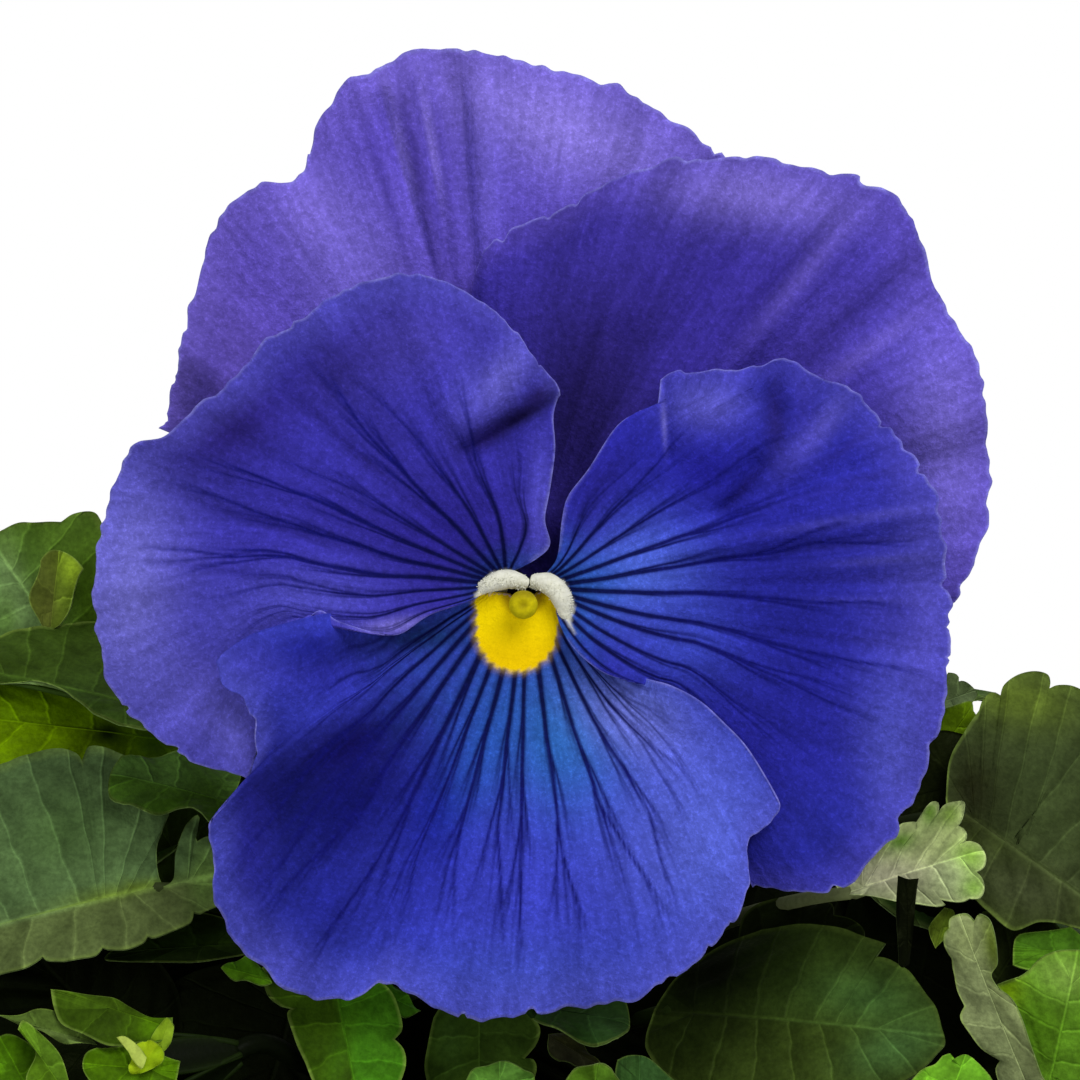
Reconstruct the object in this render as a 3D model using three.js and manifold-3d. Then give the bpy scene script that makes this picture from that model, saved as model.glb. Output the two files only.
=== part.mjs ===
// Potted pansy planter, in millimetres, +Z up.
// Origin: centre of the pot's underside. The open bloom faces -Y.
// A clay pot holds potting soil; eight leafy stems, a flower stalk and a bud stalk stand in
// plain holes in the soil; five petals, a pistil and a ring of stamens sit on the flower stalk.

import * as THREE from 'three';
import { mergeVertices } from 'three/addons/utils/BufferGeometryUtils.js';
import Module from 'manifold-3d';

const wasm = await Module();
wasm.setup();

// ---------------------------------------------------------------- driving dimensions (mm)
const GAP = 0.3; // clearance between pieces that seat on each other

const POT_HEIGHT = 105;
const POT_FOOT_RADIUS = 42;
const POT_BODY_TOP_RADIUS = 55.5;
const POT_RIM_RADIUS = 62;
const POT_RIM_HEIGHT = 22;
const POT_WALL = 4.5;
const POT_FLOOR = 6.5;
const POT_SEGMENTS = 36;
const DRAIN_HOLE_RADIUS = 5;
const DRAIN_HOLE_RING = 21;
const DRAIN_HOLES = 3;

const SOIL_LEVEL = 97;
const SOIL_LUMP = 1.6; // height of the soil's lumps
const SOIL_RINGS = 5;
const SOIL_SPOKES = 24;
const ROOT_DEPTH = 14; // how far a stem stands down into the soil

const STEM_COUNT = 8;
const STEM_RING = 10; // radius of the ring that the stems stand on
const STEM_RADIUS = 1.7;
const STEM_HEIGHT = 50;
const STEM_LEAN = 0.13; // outward travel per mm of height

const FOLIAGE_APEX = 90; // height that the leaf stalks fan out from
const BLADE = 0.7; // thickness of a leaf blade
const LEAF_TEETH = 5; // scallops along each side of a leaf
const TOOTH_DEPTH = 0.1; // scallop depth, as a share of the half width
const STALK_RADIUS = 0.75; // leaf stalk

const FOLIAGE_LEAVES = 58;
const GOLDEN_ANGLE = 137.508; // degrees from one leaf to the next round the plant
const LOWEST_LEAF = 25; // degrees of elevation
const HIGHEST_LEAF = 79;
const LEAF_SEED = 191;
const FRONT_SECTOR = 62; // degrees each side of the bloom where the hand-placed leaves stand
const FRONT_HEIGHT = 38; // rule-placed leaves stay below this elevation there

const BLOOM_CENTRE = [0, -48, 180];
const BLOOM_TILT = 8; // degrees that the face looks upwards
const PETAL = 0.7; // thickness of a petal
const PETAL_ACROSS = 13; // petal divisions from side to side
const CALYX_DEPTH = 12.6; // the receptacle's front, behind the face
const CLAW_RING = 2.45; // radius on which the petals' claws meet the receptacle
const CLAW_WIDTH = 1.3;

// ---------------------------------------------------------------- colours
const CLAY = { color: 0xb5673f, roughness: 0.9, metalness: 0 };
const SOIL = { color: 0x2a1d14, roughness: 1.0, metalness: 0 };
const LEAF = { color: 0x3f5c2a, roughness: 0.62, metalness: 0 };
const STALK = { color: 0x5c7a35, roughness: 0.6, metalness: 0 };
const UPPER_PETAL = { color: 0x5546b0, roughness: 0.75, metalness: 0 };
const SIDE_PETAL = { color: 0x322f94, roughness: 0.75, metalness: 0 };
const LOWER_PETAL = { color: 0x3a43b4, roughness: 0.75, metalness: 0 };
const STIGMA = { color: 0xbcaf0f, roughness: 0.6, metalness: 0 };
const ANTHER = { color: 0xc8842a, roughness: 0.8, metalness: 0 };
const BUD = { color: 0x6d7f3c, roughness: 0.7, metalness: 0 };

// ---------------------------------------------------------------- small maths helpers
const rad = THREE.MathUtils.degToRad;
const vec = (x, y, z) => new THREE.Vector3(x, y, z);
const mix = (a, b, t) => a + (b - a) * t;
const bell = (d, w) => Math.exp(-((d / w) ** 2));

/** Smooth ramp from 0 at a to 1 at b. */
function ramp(a, b, x) {
  const q = Math.min(1, Math.max(0, (x - a) / (b - a)));
  return q * q * (3 - 2 * q);
}

/** Seeded random numbers between 0 and 1. */
function draws(seed) {
  let state = seed >>> 0;
  return () => {
    state = (state + 0x6d2b79f5) >>> 0;
    let t = state;
    t = Math.imul(t ^ (t >>> 15), t | 1);
    t ^= t + Math.imul(t ^ (t >>> 7), t | 61);
    return ((t ^ (t >>> 14)) >>> 0) / 4294967296;
  };
}

/** Point at share s of a smooth curve through 2D points, by chord length. */
function along(points, s) {
  const run = [0];
  for (let i = 1; i < points.length; i++) {
    const dx = points[i][0] - points[i - 1][0];
    const dy = points[i][1] - points[i - 1][1];
    run.push(run[i - 1] + Math.hypot(dx, dy));
  }
  const goal = s * run[run.length - 1];
  let i = 0;
  while (i < points.length - 2 && run[i + 1] < goal) i++;
  const t = (goal - run[i]) / (run[i + 1] - run[i]);
  const p0 = points[Math.max(i - 1, 0)];
  const p1 = points[i];
  const p2 = points[i + 1];
  const p3 = points[Math.min(i + 2, points.length - 1)];
  return [0, 1].map((k) => {
    const m1 = 0.5 * (p2[k] - p0[k]);
    const m2 = 0.5 * (p3[k] - p1[k]);
    const a = 2 * p1[k] - 2 * p2[k] + m1 + m2;
    const b = -3 * p1[k] + 3 * p2[k] - 2 * m1 - m2;
    return ((a * t + b) * t + m1) * t + p1[k];
  });
}

/** Distance from a face point to a line on the face, with the share along it. */
function toLine(x, u, from, to) {
  const dx = to[0] - from[0];
  const du = to[1] - from[1];
  const share = ((x - from[0]) * dx + (u - from[1]) * du) / (dx * dx + du * du);
  const q = Math.min(1, Math.max(0, share));
  return Math.hypot(x - from[0] - q * dx, u - from[1] - q * du);
}

// ---------------------------------------------------------------- closed meshes
/** Indexed geometry, turned so that its faces point out. */
function closedGeometry(positions, indices) {
  let volume = 0;
  for (let i = 0; i < indices.length; i += 3) {
    const [a, b, c] = [0, 1, 2].map((k) => {
      const j = indices[i + k] * 3;
      return vec(positions[j], positions[j + 1], positions[j + 2]);
    });
    volume += a.dot(b.cross(c));
  }
  if (volume < 0) {
    for (let i = 0; i < indices.length; i += 3) {
      [indices[i + 1], indices[i + 2]] = [indices[i + 2], indices[i + 1]];
    }
  }
  const geometry = new THREE.BufferGeometry();
  geometry.setAttribute('position', new THREE.Float32BufferAttribute(positions, 3));
  geometry.setIndex(indices);
  return geometry;
}

/** A body carried through rings of equal point counts, closed by a fan at each end. */
function loft(rings) {
  const m = rings[0].length;
  const positions = rings.flat().flatMap((p) => [p.x, p.y, p.z]);
  const indices = [];
  for (let i = 0; i < rings.length - 1; i++) {
    for (let j = 0; j < m; j++) {
      const a = i * m + j;
      const b = i * m + ((j + 1) % m);
      indices.push(a, b, b + m, a, b + m, a + m);
    }
  }
  const last = (rings.length - 1) * m;
  for (let j = 1; j < m - 1; j++) {
    indices.push(0, j + 1, j);
    indices.push(last, last + j, last + j + 1);
  }
  return closedGeometry(positions, indices);
}

/** A thin sheet of even thickness; both faces are split along the same diagonals. */
function sheet(pointAt, across, rows, thickness) {
  const step = 1e-3;
  const front = [];
  const back = [];
  const last = rows.length - 1;
  for (let j = 0; j <= last; j++) {
    for (let i = 0; i <= across; i++) {
      const s = i / across;
      const t = rows[j];
      const p = pointAt(s, t);
      const s0 = Math.max(0, s - step);
      const s1 = Math.min(1, s + step);
      const t0 = Math.max(0, t - step);
      const t1 = Math.min(1, t + step);
      const ds = pointAt(s1, t).sub(pointAt(s0, t));
      const dt = pointAt(s, t1).sub(pointAt(s, t0));
      const normal = ds.cross(dt).normalize().multiplyScalar(thickness / 2);
      front.push(p.clone().add(normal));
      back.push(p.clone().sub(normal));
    }
  }
  const w = across + 1;
  const n = front.length;
  const positions = [...front, ...back].flatMap((p) => [p.x, p.y, p.z]);
  const indices = [];
  for (let j = 0; j < last; j++) {
    for (let i = 0; i < across; i++) {
      const a = j * w + i;
      indices.push(a, a + 1, a + w + 1, a, a + w + 1, a + w);
      indices.push(n + a, n + a + w + 1, n + a + 1, n + a, n + a + w, n + a + w + 1);
    }
  }
  const rim = [];
  for (let i = 0; i < across; i++) rim.push(i);
  for (let j = 0; j < last; j++) rim.push(j * w + across);
  for (let i = across; i > 0; i--) rim.push(last * w + i);
  for (let j = last; j > 0; j--) rim.push(j * w);
  rim.forEach((a, k) => {
    const b = rim[(k + 1) % rim.length];
    indices.push(a, n + b, b, a, n + a, n + b);
  });
  return closedGeometry(positions, indices);
}

/** Round tube along a list of centre points, with a radius for each. */
function tube(centres, radii, sides) {
  const rings = centres.map((c, i) => {
    const before = centres[Math.max(i - 1, 0)];
    const after = centres[Math.min(i + 1, centres.length - 1)];
    const along3 = after.clone().sub(before).normalize();
    const side = along3.clone().cross(Math.abs(along3.x) < 0.8 ? vec(1, 0, 0) : vec(0, 1, 0));
    side.normalize();
    const other = along3.clone().cross(side);
    return Array.from({ length: sides }, (_, k) => {
      const a = (k * 2 * Math.PI) / sides;
      const out = side.clone().multiplyScalar(Math.cos(a) * radii[i]);
      return out.addScaledVector(other, Math.sin(a) * radii[i]).add(c);
    });
  });
  return loft(rings);
}

/** Points along a quadratic bend from a to c, drawn towards b. */
function bend(a, b, c, count) {
  return Array.from({ length: count + 1 }, (_, i) => {
    const t = i / count;
    const p = a.clone().multiplyScalar((1 - t) ** 2);
    return p.addScaledVector(b, 2 * t * (1 - t)).addScaledVector(c, t * t);
  });
}

// ---------------------------------------------------------------- booleans
function toSolid(geometry) {
  const bare = geometry.clone();
  bare.deleteAttribute('normal');
  bare.deleteAttribute('uv');
  const merged = mergeVertices(bare, 1e-4);
  return new wasm.Manifold(new wasm.Mesh({
    numProp: 3,
    vertProperties: new Float32Array(merged.attributes.position.array),
    triVerts: new Uint32Array(merged.index.array),
  }));
}

function fromSolid(solid) {
  const mesh = solid.getMesh();
  const geometry = new THREE.BufferGeometry();
  geometry.setAttribute('position', new THREE.BufferAttribute(mesh.vertProperties, 3));
  geometry.setIndex(new THREE.BufferAttribute(mesh.triVerts, 1));
  return geometry;
}

function fuse(geometries) {
  return fromSolid(geometries.map(toSolid).reduce((a, b) => a.add(b)));
}

function cut(geometry, tools) {
  return fromSolid(tools.map(toSolid).reduce((a, b) => a.subtract(b), toSolid(geometry)));
}

// ---------------------------------------------------------------- the bloom's own axes
const FACE_RIGHT = vec(1, 0, 0);
const FACE_UP = vec(0, Math.sin(rad(BLOOM_TILT)), Math.cos(rad(BLOOM_TILT)));
const FACE_OUT = vec(0, -Math.cos(rad(BLOOM_TILT)), Math.sin(rad(BLOOM_TILT)));

/** Direction given as right, up and out of the bloom's face. */
function faceDirection(x, u, n) {
  return FACE_RIGHT.clone().multiplyScalar(x).addScaledVector(FACE_UP, u).addScaledVector(FACE_OUT, n);
}

/** Point given as mm right, up and out from the bloom's centre. */
function onFace(x, u, n) {
  return faceDirection(x, u, n).add(vec(...BLOOM_CENTRE));
}

// ---------------------------------------------------------------- petals
// Each petal: claw angle round the receptacle, neck (where claw becomes blade), the two side
// edges out from the neck, the rim between them, its layer (mm out from the face), how much
// larger it is drawn for lying behind, and its folds. Outlines are in mm right and up.
const LIP = { rise: 4, leftFrom: 13, leftTo: 20.5, rightFrom: 8.5, rightTo: 14 };

const PETALS = {
  petal_upper_left: {
    claw: 125, neck: [[-1.75, 3.1], [-0.5, 4.1]], neckOut: -11.4, layer: -10.6, grow: 1.027,
    sideA: [[-9, 6.6], [-21, 11.5], [-32.5, 16.2]],
    rim: [
      [-32.5, 16.2], [-30.8, 22], [-30.4, 24.8], [-28.5, 32], [-26.2, 36.2], [-23.4, 38.2],
      [-20.1, 38.5], [-18.8, 42.4], [-15.8, 47.1], [-12.6, 48.4], [-9.6, 50.6], [-6.2, 50.4],
      [-2.4, 50], [4.7, 48], [10.1, 46.2], [16.3, 42.1], [20.6, 38], [22, 31],
    ],
    sideB: [[2.6, 8.5], [8, 16], [15, 24], [22, 31]],
    waves: 5, waveHeight: 0.8,
    folds: [
      { from: [-6, 14], to: [-12.5, 44], width: 2.2, height: -1.5 },
      { from: [-9, 12], to: [-19, 37], width: 2.6, height: 1.1 },
      { from: [-2, 18], to: [-3.5, 45], width: 2.4, height: 0.9 },
    ],
    finish: UPPER_PETAL,
  },
  petal_upper_right: {
    claw: 55, neck: [[0.7, 4.3], [1.9, 3.0]], neckOut: -9.6, layer: -7, grow: 1.017,
    sideA: [[-1.2, 9.5], [-3, 16], [-4.8, 24], [-4.6, 28.8]],
    rim: [
      [-4.6, 28.8], [-3.7, 31.6], [-1.9, 33.7], [3, 35.7], [7.5, 38.4], [12.7, 40.3],
      [17.7, 40.4], [21.7, 40.6], [26.2, 39.7], [30.8, 38.5], [34.2, 36.1], [36.1, 32.3],
      [37.4, 28.3], [40.2, 24], [41.4, 19.8], [42, 15], [41.9, 9], [40.9, 5], [38.7, 0.8], [36.5, -2],
    ],
    sideB: [[7, 2.3], [16, 1.4], [27, -0.6], [36.5, -2]],
    waves: 5, waveHeight: 0.8,
    folds: [
      { from: [2, 12], to: [8, 24], width: 2.6, height: -1.0 },
      { from: [10, 14], to: [24, 30], width: 3.2, height: 0.8 },
    ],
    finish: UPPER_PETAL,
  },
  petal_side_left: {
    claw: 190, neck: [[-0.95, 3.5], [-2.5, 1.15]], neckOut: -3.9, layer: -2.6, grow: 1.006,
    sideA: [[1.3, 4.7], [2.5, 6], [2.05, 8.2], [2.5, 10.9], [2.95, 14.5], [2.8, 17.6], [3.5, 20]],
    rim: [
      [3.5, 20], [1.6, 22], [0, 24.2], [-1.3, 25.8], [-5.1, 28.8], [-10, 30.1], [-14.9, 29.2],
      [-17.6, 27.6], [-23.2, 23.9], [-25.2, 21.1], [-29, 18.3], [-32.3, 15.8], [-35.2, 14.5],
      [-37.3, 10], [-38.3, 4.6], [-38, -3.4], [-36.3, -8.3], [-32.3, -11.5], [-28.8, -13.7],
      [-24.4, -15],
    ],
    sideB: [
      [-4.6, 0.75], [-8.2, -0.3], [-10.9, -2.0], [-13.1, -1.85], [-16.3, -0.9], [-18.4, 0],
      [-20.5, -3.2], [-22.5, -8.5], [-24.4, -15],
    ],
    waves: 4, waveHeight: 0.7,
    folds: [
      { from: [-4.6, 14.6], to: [2.8, 18], width: 1.7, height: -1.3 },
      { from: [-6, 17], to: [-0.5, 24], width: 2.4, height: 1.3 },
      { from: [-13, -2], to: [-6, 0.4], width: 3.4, height: 1.6 },
    ],
    finish: SIDE_PETAL,
  },
  petal_side_right: {
    claw: 350, neck: [[2.15, 3.4], [2.7, 0.7]], neckOut: -3.9, layer: -3.1, grow: 1.007,
    sideA: [
      [3.15, 4.9], [3.55, 8.2], [4.1, 10.3], [5.9, 12.7], [8.6, 16.7], [11.9, 18.5], [13.2, 21.1],
    ],
    rim: [
      [13.2, 21.1], [16.8, 21.4], [20, 21.1], [22, 22.6], [24.5, 22.3], [27, 20.8], [30.2, 19.4],
      [33.6, 15.8], [36.5, 11.8], [37.8, 6.5], [38.5, 1.5], [38.2, -4], [37.4, -10],
      [35, -17], [32, -21.8], [28.2, -25], [24.5, -25.2], [20.5, -24.6],
    ],
    sideB: [
      [3.4, -1.2], [4.7, -3.4], [7, -5.3], [9.2, -6.05], [11.5, -6.3], [13.3, -10], [16.5, -17],
      [20.5, -24.6],
    ],
    waves: 4, waveHeight: 0.7,
    folds: [
      { from: [12.6, 13], to: [12.9, 20], width: 1.5, height: -1.0 },
      { from: [19, 9.5], to: [23.5, 20.5], width: 2.2, height: -1.4 },
      { from: [16, 14], to: [18, 20.5], width: 2.2, height: 1.0 },
      { from: [4.5, -3], to: [9, -5.6], width: 3, height: 1.5 },
    ],
    finish: SIDE_PETAL,
  },
  petal_lower: {
    claw: 270, neck: [[-2.6, -0.7], [2.2, -0.7]], neckOut: -4.4, layer: -4.2, grow: 1.0,
    sideA: [
      [-4.1, -0.6], [-8, 0.4], [-12.2, -0.2], [-14.6, -1.7], [-16.3, -2.1], [-18.6, -1.7],
      [-21.4, -1.4], [-24.6, -2.6], [-27.2, -4.6],
    ],
    rim: [
      [-27.2, -4.6], [-26.6, -6.4], [-24.5, -8.3], [-23.7, -11.3], [-24.2, -14.7], [-26.6, -16.2],
      [-28.1, -18.6], [-27.6, -21.7], [-27.6, -26.4], [-25.4, -30.1], [-22.9, -32.5],
      [-20, -34.6], [-15.9, -35], [-12.6, -33.5], [-10, -34.5], [-6.5, -36], [-1.6, -36.5],
      [4, -35.8], [10.5, -34.4], [15.4, -31.4], [17.9, -29.3], [20.2, -25], [20.2, -21.2],
      [22.9, -18.1], [22.9, -16.8],
    ],
    sideB: [
      [3.9, -2.6], [6.3, -4.6], [9.2, -6.6], [10.6, -7.3], [12.5, -7.0], [15, -7.9], [17.5, -9.8],
      [20.3, -12.5], [22.9, -16.8],
    ],
    waves: 7, waveHeight: 0.7,
    folds: [
      { from: [-4, -12], to: [-14, -31], width: 2.6, height: -0.9 },
      { from: [3, -14], to: [6, -33], width: 3.0, height: 0.7 },
    ],
    finish: LOWER_PETAL,
  },
};

/** How far the lower petal rises over its neighbours: low near the eye, high further out. */
function lipRise(x, u) {
  const edge = x < 0 ? ramp(LIP.leftFrom, LIP.leftTo, -x) : ramp(LIP.rightFrom, LIP.rightTo, x);
  const field = ramp(6, 32, Math.hypot(x, u));
  return LIP.rise * mix(field, edge, ramp(-13, -6, u));
}

/** Out-of-face depth of a petal's blade at x, u; edge runs from 0 at the neck to 1 at the rim. */
function petalDepth(name, petal, x, u, s, edge) {
  const neckX = (petal.neck[0][0] + petal.neck[1][0]) / 2;
  const neckU = (petal.neck[0][1] + petal.neck[1][1]) / 2;
  let depth = petal.layer - 0.0011 * (x * x + u * u);
  depth += (petal.neckOut - petal.layer) * bell(Math.hypot(x - neckX, u - neckU), 3);
  depth += petal.waveHeight * edge ** 3 * Math.sin(2 * Math.PI * petal.waves * s + petal.claw);
  for (const fold of petal.folds) {
    depth += fold.height * bell(toLine(x, u, fold.from, fold.to), fold.width);
  }
  if (name === 'petal_lower') depth += lipRise(x, u);
  return depth;
}

/** Middle surface of a petal: s runs from side to side, t from the claw's foot to the rim. */
function petalPoint(name, petal, s, t) {
  const clawShare = 0.12;
  const [a, b] = petal.neck;
  const neck = [mix(a[0], b[0], s), mix(a[1], b[1], s)];
  if (t < clawShare) {
    const q = t / clawShare;
    const turn = rad(petal.claw);
    const sway = [b[0] - a[0], b[1] - a[1]];
    const width = (CLAW_WIDTH * (s - 0.5)) / Math.hypot(...sway);
    const foot = [
      CLAW_RING * Math.cos(turn) + sway[0] * width,
      CLAW_RING * Math.sin(turn) + sway[1] * width,
    ];
    const neckDepth = petalDepth(name, petal, neck[0], neck[1], s, 0);
    const swell = q * q * (1.6 - 0.6 * q);
    return onFace(mix(foot[0], neck[0], swell), mix(foot[1], neck[1], swell),
      mix(-CALYX_DEPTH + GAP, neckDepth, Math.sin((q * Math.PI) / 2)));
  }
  const q = (t - clawShare) / (1 - clawShare);
  const rim = along(petal.rim, s);
  const [x, u] = [0, 1].map((k) => {
    const tip = [petal.rim[0], petal.rim[petal.rim.length - 1]];
    const edgeA = along([petal.neck[0], ...petal.sideA], q)[k] - mix(petal.neck[0][k], tip[0][k], q);
    const edgeB = along([petal.neck[1], ...petal.sideB], q)[k] - mix(petal.neck[1][k], tip[1][k], q);
    return mix(neck[k], rim[k], q) + edgeA * (1 - s) ** 4 + edgeB * s ** 4;
  });
  const size = mix(1, petal.grow, ramp(0, 0.4, q));
  return onFace(x * size, u * size, petalDepth(name, petal, x, u, s, q));
}

const PETAL_ROWS = [0, 0.06, 0.12, 0.17, 0.25, 0.36, 0.48, 0.61, 0.74, 0.87, 1];

/** The spur: the lower petal's short nectar sac, which runs back under the receptacle. */
function spur() {
  const centres = bend(onFace(0, -4.6, -4.6), onFace(0, -5.2, -11), onFace(0, -6.4, -17), 4);
  return tube(centres, [1.2, 1.6, 1.6, 1.5, 0.7], 8);
}

function petalGeometry(name) {
  const petal = PETALS[name];
  const blade = sheet((s, t) => petalPoint(name, petal, s, t), PETAL_ACROSS, PETAL_ROWS, PETAL);
  return name === 'petal_lower' ? fuse([blade, spur()]) : blade;
}

// ---------------------------------------------------------------- throat
/** Closed ring or knob turned about the bloom's axis: profile points are radius and depth out. */
function turnedOnFace(profile, sides, centre = [0, 0]) {
  const geometry = new THREE.LatheGeometry(profile.map((p) => new THREE.Vector2(...p)), sides);
  geometry.applyMatrix4(new THREE.Matrix4().makeBasis(FACE_RIGHT, FACE_OUT, FACE_UP.clone().negate()));
  const at = onFace(centre[0], centre[1], 0);
  return geometry.translate(at.x, at.y, at.z);
}

/** Ovary, style and the round stigma that shows in the eye. */
function pistil() {
  const foot = -CALYX_DEPTH + GAP;
  const ovary = turnedOnFace([[0, foot], [0.6, foot], [0.75, foot + 1.6], [0.4, foot + 3], [0, foot + 3.1]], 8);
  const path = [onFace(0, 0, foot + 2.6), onFace(0, 0.3, -6.5), onFace(0.15, 0.8, -3.6), onFace(0.3, 0.7, -1.6)];
  const style = tube(path, [0.35, 0.35, 0.4, 0.5], 7);
  const knob = new THREE.SphereGeometry(1.15, 12, 8);
  const at = onFace(0.3, 0.62, -1.3);
  return fuse([ovary, style, knob.translate(at.x, at.y, at.z)]);
}

/** Five stamens, grown together as a cone round the ovary. */
function stamens() {
  const foot = -CALYX_DEPTH + GAP;
  return turnedOnFace([
    [1.1, foot], [1.75, foot], [1.7, foot + 2.2], [1.2, foot + 4.4], [0.75, foot + 4.4],
    [1.1, foot + 2.2], [1.1, foot],
  ], 10);
}

// ---------------------------------------------------------------- leaves
/** Half width of a leaf at share v from its base, as a share of its greatest half width. */
function leafOutline(v) {
  return Math.min(1, 1.06 * Math.sin(Math.PI * Math.min(1, v * 0.94 + 0.06) ** 0.72) ** 0.62);
}

/**
 * A leaf on its stalk. The leaf has a foot on the stem, the blade's base, tip and facing
 * direction, its width, how much it arches, and how far its halves fold up.
 */
function leaf({
  foot, lean, base, tip, facing, width, arch = 0.1, fold = 0.2, teeth = LEAF_TEETH, joints = 3,
}) {
  const length = base.distanceTo(tip);
  const middle = base.clone().add(tip).multiplyScalar(0.5).addScaledVector(facing, arch * length);
  const rings = [];
  const stalk = bend(foot, lean, base, joints);
  const start = middle.clone().sub(base).normalize();
  const side = start.clone().cross(facing).normalize();
  stalk.slice(0, joints).forEach((c, i) => {
    const tangent = stalk[i + 1].clone().sub(c).normalize();
    const across = side.clone().addScaledVector(tangent, -side.dot(tangent)).normalize();
    const up = across.clone().cross(tangent);
    rings.push(bladeRing(c, across, up, STALK_RADIUS, STALK_RADIUS * 1.5, 0));
  });
  const rows = teeth * 2;
  for (let i = 0; i <= rows; i++) {
    const v = i / rows;
    const c = bend(base, middle, tip, rows)[i];
    const tangent = middle.clone().sub(base).multiplyScalar(1 - v)
      .addScaledVector(tip.clone().sub(middle), v).normalize();
    const across = side.clone().addScaledVector(tangent, -side.dot(tangent)).normalize();
    const up = across.clone().cross(tangent);
    const tooth = i % 2 === 1 ? 1 + TOOTH_DEPTH : 1 - TOOTH_DEPTH;
    const half = (width / 2) * Math.max(0.09, leafOutline(v) * tooth);
    rings.push(bladeRing(c, across, up, half, BLADE, fold));
  }
  return loft(rings);
}

/** Six points of a blade's cross-section: the two margins and the midrib, above and below. */
function bladeRing(centre, across, up, half, thick, fold) {
  const place = (x, z) => centre.clone().addScaledVector(across, x).addScaledVector(up, z);
  const lift = fold * half;
  const t = thick / 2;
  return [
    place(-half, lift + t), place(0, t), place(half, lift + t),
    place(half, lift - t), place(0, -t), place(-half, lift - t),
  ];
}

const deg = (radians) => (radians * 180) / Math.PI;
const stemAngle = (k) => -112.5 + (360 / STEM_COUNT) * k;

/** Centre of stem k at height z. */
function stemAt(k, z) {
  const r = STEM_RING + STEM_LEAN * (z - SOIL_LEVEL);
  return vec(r * Math.cos(rad(stemAngle(k))), r * Math.sin(rad(stemAngle(k))), z);
}

/** The stem that stands nearest to a point, seen from above. */
function nearestStem(p) {
  const turn = deg(Math.atan2(p.y, p.x));
  const steps = Math.round((turn - stemAngle(0)) / (360 / STEM_COUNT));
  return ((steps % STEM_COUNT) + STEM_COUNT) % STEM_COUNT;
}

// Leaves seen round the bloom, in mm right, up and out of its face: blade base, tip, facing
// direction, width, arch and fold.
const FACE_LEAVES = [
  { base: [-33, -24.5, -13], tip: [-56, -29, -10], facing: [0.05, 0.45, 0.9], width: 22, arch: 0.06 },
  { base: [-29.5, -10.5, -22], tip: [-54, -6, -24], facing: [-0.1, 0.75, 0.65], width: 19, arch: 0.14 },
  { base: [-28, -15.5, -27], tip: [-50, -14, -24], facing: [-0.2, 0.6, 0.75], width: 15, arch: 0.1 },
  { base: [-35, -8, -36], tip: [-47, 9, -38], facing: [-0.3, 0.2, 0.93], width: 17, arch: 0.1 },
  { base: [-17.5, -33, -10], tip: [-17.5, -49, -5], facing: [0.1, 0.35, 0.93], width: 11.5, arch: 0.08 },
  { base: [-4, -33, -18], tip: [-3.5, -50, -11], facing: [0, 0.4, 0.9], width: 13, arch: 0.12 },
  { base: [-1, -35.5, -12], tip: [11, -38, -9], facing: [0.1, 0.75, 0.65], width: 9.5, arch: 0.1 },
  { base: [7, -50, -12], tip: [8.5, -38.5, -5], facing: [0, 0.1, 0.99], width: 10, arch: 0.05 },
  { base: [14, -33.5, -18], tip: [39, -37.5, -9], facing: [-0.1, 0.5, 0.86], width: 21, arch: 0.1 },
  { base: [28, -25, -15], tip: [41.5, -22, -11], facing: [0, 0.8, 0.6], width: 10, arch: 0.08 },
  { base: [39.5, -18, -20], tip: [60, -28, -18], facing: [0.05, 0.3, 0.95], width: 25, arch: 0.1 },
  { base: [48, -46, -10], tip: [40, -27, -7], facing: [0.35, 0.1, 0.93], width: 15, arch: 0.08, fold: 0.35 },
  { base: [36, -15, -27], tip: [41.5, -5.5, -30], facing: [0.2, 0.1, 0.97], width: 10, arch: 0.05 },
];

function faceLeaves() {
  return FACE_LEAVES.map((entry) => {
    const base = onFace(...entry.base);
    const stem = nearestStem(base);
    const height = Math.min(SOIL_LEVEL + STEM_HEIGHT - 3, mix(SOIL_LEVEL, base.z, 0.72));
    const foot = stemAt(stem, height);
    const lean = foot.clone().lerp(base, 0.55).add(vec(0, 0, 0.1 * foot.distanceTo(base)));
    return {
      ...entry, stem, foot, lean, base, tip: onFace(...entry.tip),
      facing: faceDirection(...entry.facing).normalize(),
    };
  });
}

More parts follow.
